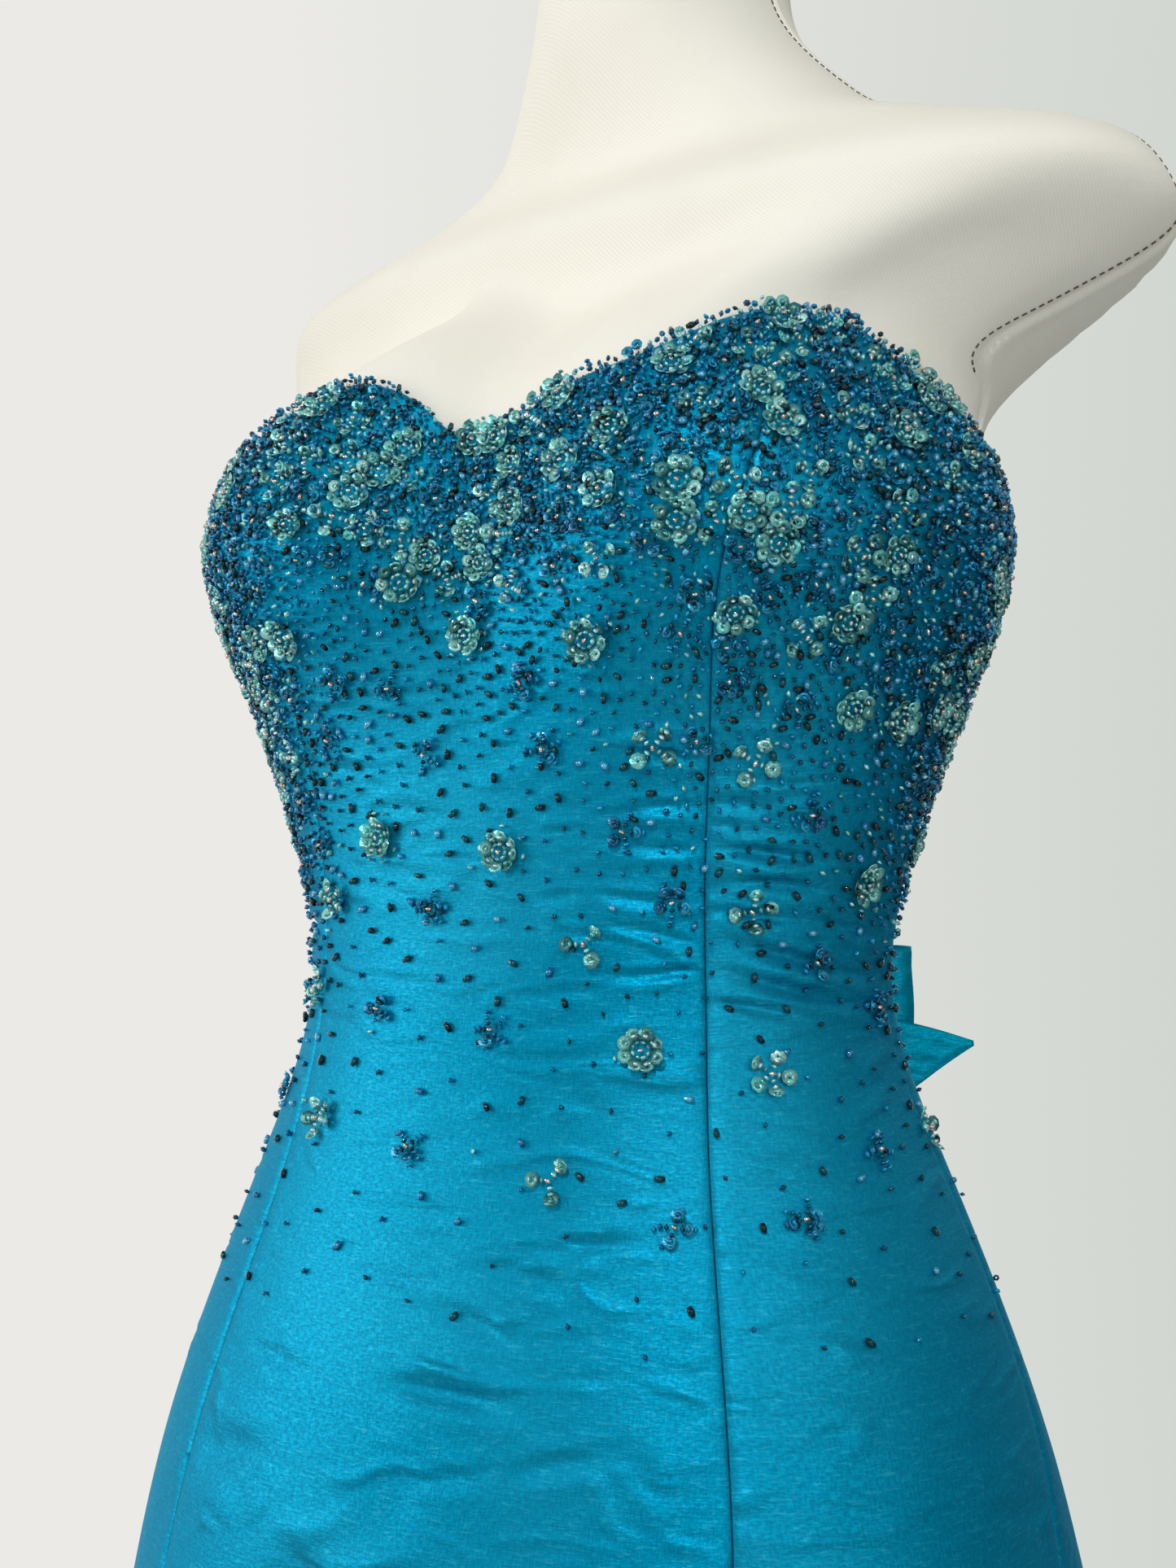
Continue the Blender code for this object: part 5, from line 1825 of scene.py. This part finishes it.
# %% [markdown]
# ## Floor and light
#
# The photograph is lit softly from the viewer's left, which leaves the wearer's left side in
# shade and shows every crease that runs sideways. A large lamp stands there, two weaker ones
# lighten the shade, a small one puts glints on the beads, and the pale room does the rest.

# %% Floor, lamps and room
FLOOR_RADIUS = 1.5
FLOOR_SIDES = 96
FLOOR_DARK = "DDD9D3"
FLOOR_PALE = "E4E1DB"
FLOOR_MOTTLE_MM = 180
FLOOR_DROP = 0.0005
Lamp = namedtuple("Lamp", "name place size power tint")
LAMPS = (
    Lamp("key", (-1.55, -1.15, 1.45), 1.3, 16, "FFFDF8"),
    Lamp("front", (0.9, -1.5, 1.7), 1.2, 6.2, "FFFFFF"),
    Lamp("glint", (0.3, -1.3, 2.2), 0.08, 8, "FFFFFF"),
    Lamp("fill", (1.7, -0.9, 1.3), 1.2, 5, "FFFDF6"),
)
LAMPS_AIM_AT = (0.0, 0.0, WAIST + 0.05)
ROOM_WARM = "EBEAE6"
ROOM_GREY = "D0D5CF"
ROOM_FRONT = "9A9E9D"
ROOM_SIDE = "5F676A"
ROOM_LIGHT = 1.0
VIEWER_RIGHT = (math.cos(CAMERA_TURN), math.sin(CAMERA_TURN), 0.0)
VIEWER_BACK = (math.sin(CAMERA_TURN), -math.cos(CAMERA_TURN), 0.0)


def add_lamp(lamp):
    """A soft square lamp that faces the middle of the dress."""
    data = bpy.data.lights.new(lamp.name, "AREA")
    data.size = lamp.size
    data.energy = lamp.power
    data.color = colour(lamp.tint)[:3]
    light = bpy.data.objects.new(lamp.name, data)
    light.location = lamp.place
    facing = Vector(LAMPS_AIM_AT) - Vector(lamp.place)
    light.rotation_euler = facing.to_track_quat("-Z", "Y").to_euler()
    bpy.context.scene.collection.objects.link(light)


def make_floor():
    """A pale matt floor under the stand."""
    deselect_all()
    bpy.ops.mesh.primitive_circle_add(
        radius=FLOOR_RADIUS, vertices=FLOOR_SIDES, fill_type="NGON", location=(0, 0, -FLOOR_DROP)
    )
    floor = bpy.context.object
    floor.name = "floor"
    material, surface = new_material("matt_paint_pale")
    where = add_node(material, "ShaderNodeTexCoord").outputs["Object"]
    mottle = add_node(
        material, "ShaderNodeTexNoise", Vector=where, Scale=per_metre(FLOOR_MOTTLE_MM), Detail=3.0
    )
    tone = add_node(
        material,
        "ShaderNodeMix",
        {"data_type": "RGBA"},
        i0=mottle.outputs[0],
        i6=colour(FLOOR_DARK),
        i7=colour(FLOOR_PALE),
    )
    fill_sockets(material, surface, {"Base Color": tone.outputs[2], "Roughness": 0.85})
    floor.data.materials.append(material)
    floor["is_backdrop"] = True


def make_room():
    """A pale room: its wall is bright behind the dress, and it is in shade beside and before it."""
    world = bpy.data.worlds.new("pale_room")
    bpy.context.scene.world = world
    world.use_nodes = True
    background = world.node_tree.nodes["Background"]
    direction = add_node(world, "ShaderNodeTexCoord").outputs["Generated"]
    to_right, to_viewer = (
        add_node(
            world, "ShaderNodeVectorMath", {"operation": "DOT_PRODUCT"}, i0=direction, i1=axis
        ).outputs["Value"]
        for axis in (VIEWER_RIGHT, VIEWER_BACK)
    )
    upwards = add_node(world, "ShaderNodeSeparateXYZ", Vector=direction).outputs["Z"]
    behind, beside, ahead, below_ceiling = (
        add_node(
            world,
            "ShaderNodeMapRange",
            Value=value,
            **{"From Min": low, "From Max": high, "To Min": first, "To Max": last},
        ).outputs[0]
        for value, low, high, first, last in (
            (to_right, -0.15, 0.30, 0.0, 1.0),
            (to_right, 0.32, 0.75, 0.0, 1.0),
            (to_viewer, -0.75, 0.0, 0.0, 1.0),
            (upwards, 0.05, 0.40, 1.0, 0.0),
        )
    )
    at_side = add_node(world, "ShaderNodeMath", {"operation": "MULTIPLY"}, i0=beside, i1=below_ceiling)
    tone = colour(ROOM_WARM)
    for share, over in ((behind, ROOM_GREY), (ahead, ROOM_FRONT), (at_side.outputs[0], ROOM_SIDE)):
        tone = add_node(
            world, "ShaderNodeMix", {"data_type": "RGBA"}, i0=share, i6=tone, i7=colour(over)
        ).outputs[2]
    fill_sockets(world, background, {"Color": tone, "Strength": ROOM_LIGHT})


make_floor()
make_room()
for lamp in LAMPS:
    add_lamp(lamp)
bpy.context.scene.view_settings.view_transform = "Standard"
print(f"floor, room and {len(LAMPS)} lamps")

# %% [markdown]
# ## Sizes
#
# The box round the solids and the box round the finished pieces are both printed, in millimetres.
# The finished pieces must stay as large as the solids, apart from what cloth and beads may stand
# proud.

# %% Sizes and finish
for area in (cad_box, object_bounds()):
    print("box in mm:", [round((high - low) / MM) for low, high in zip(*area)])
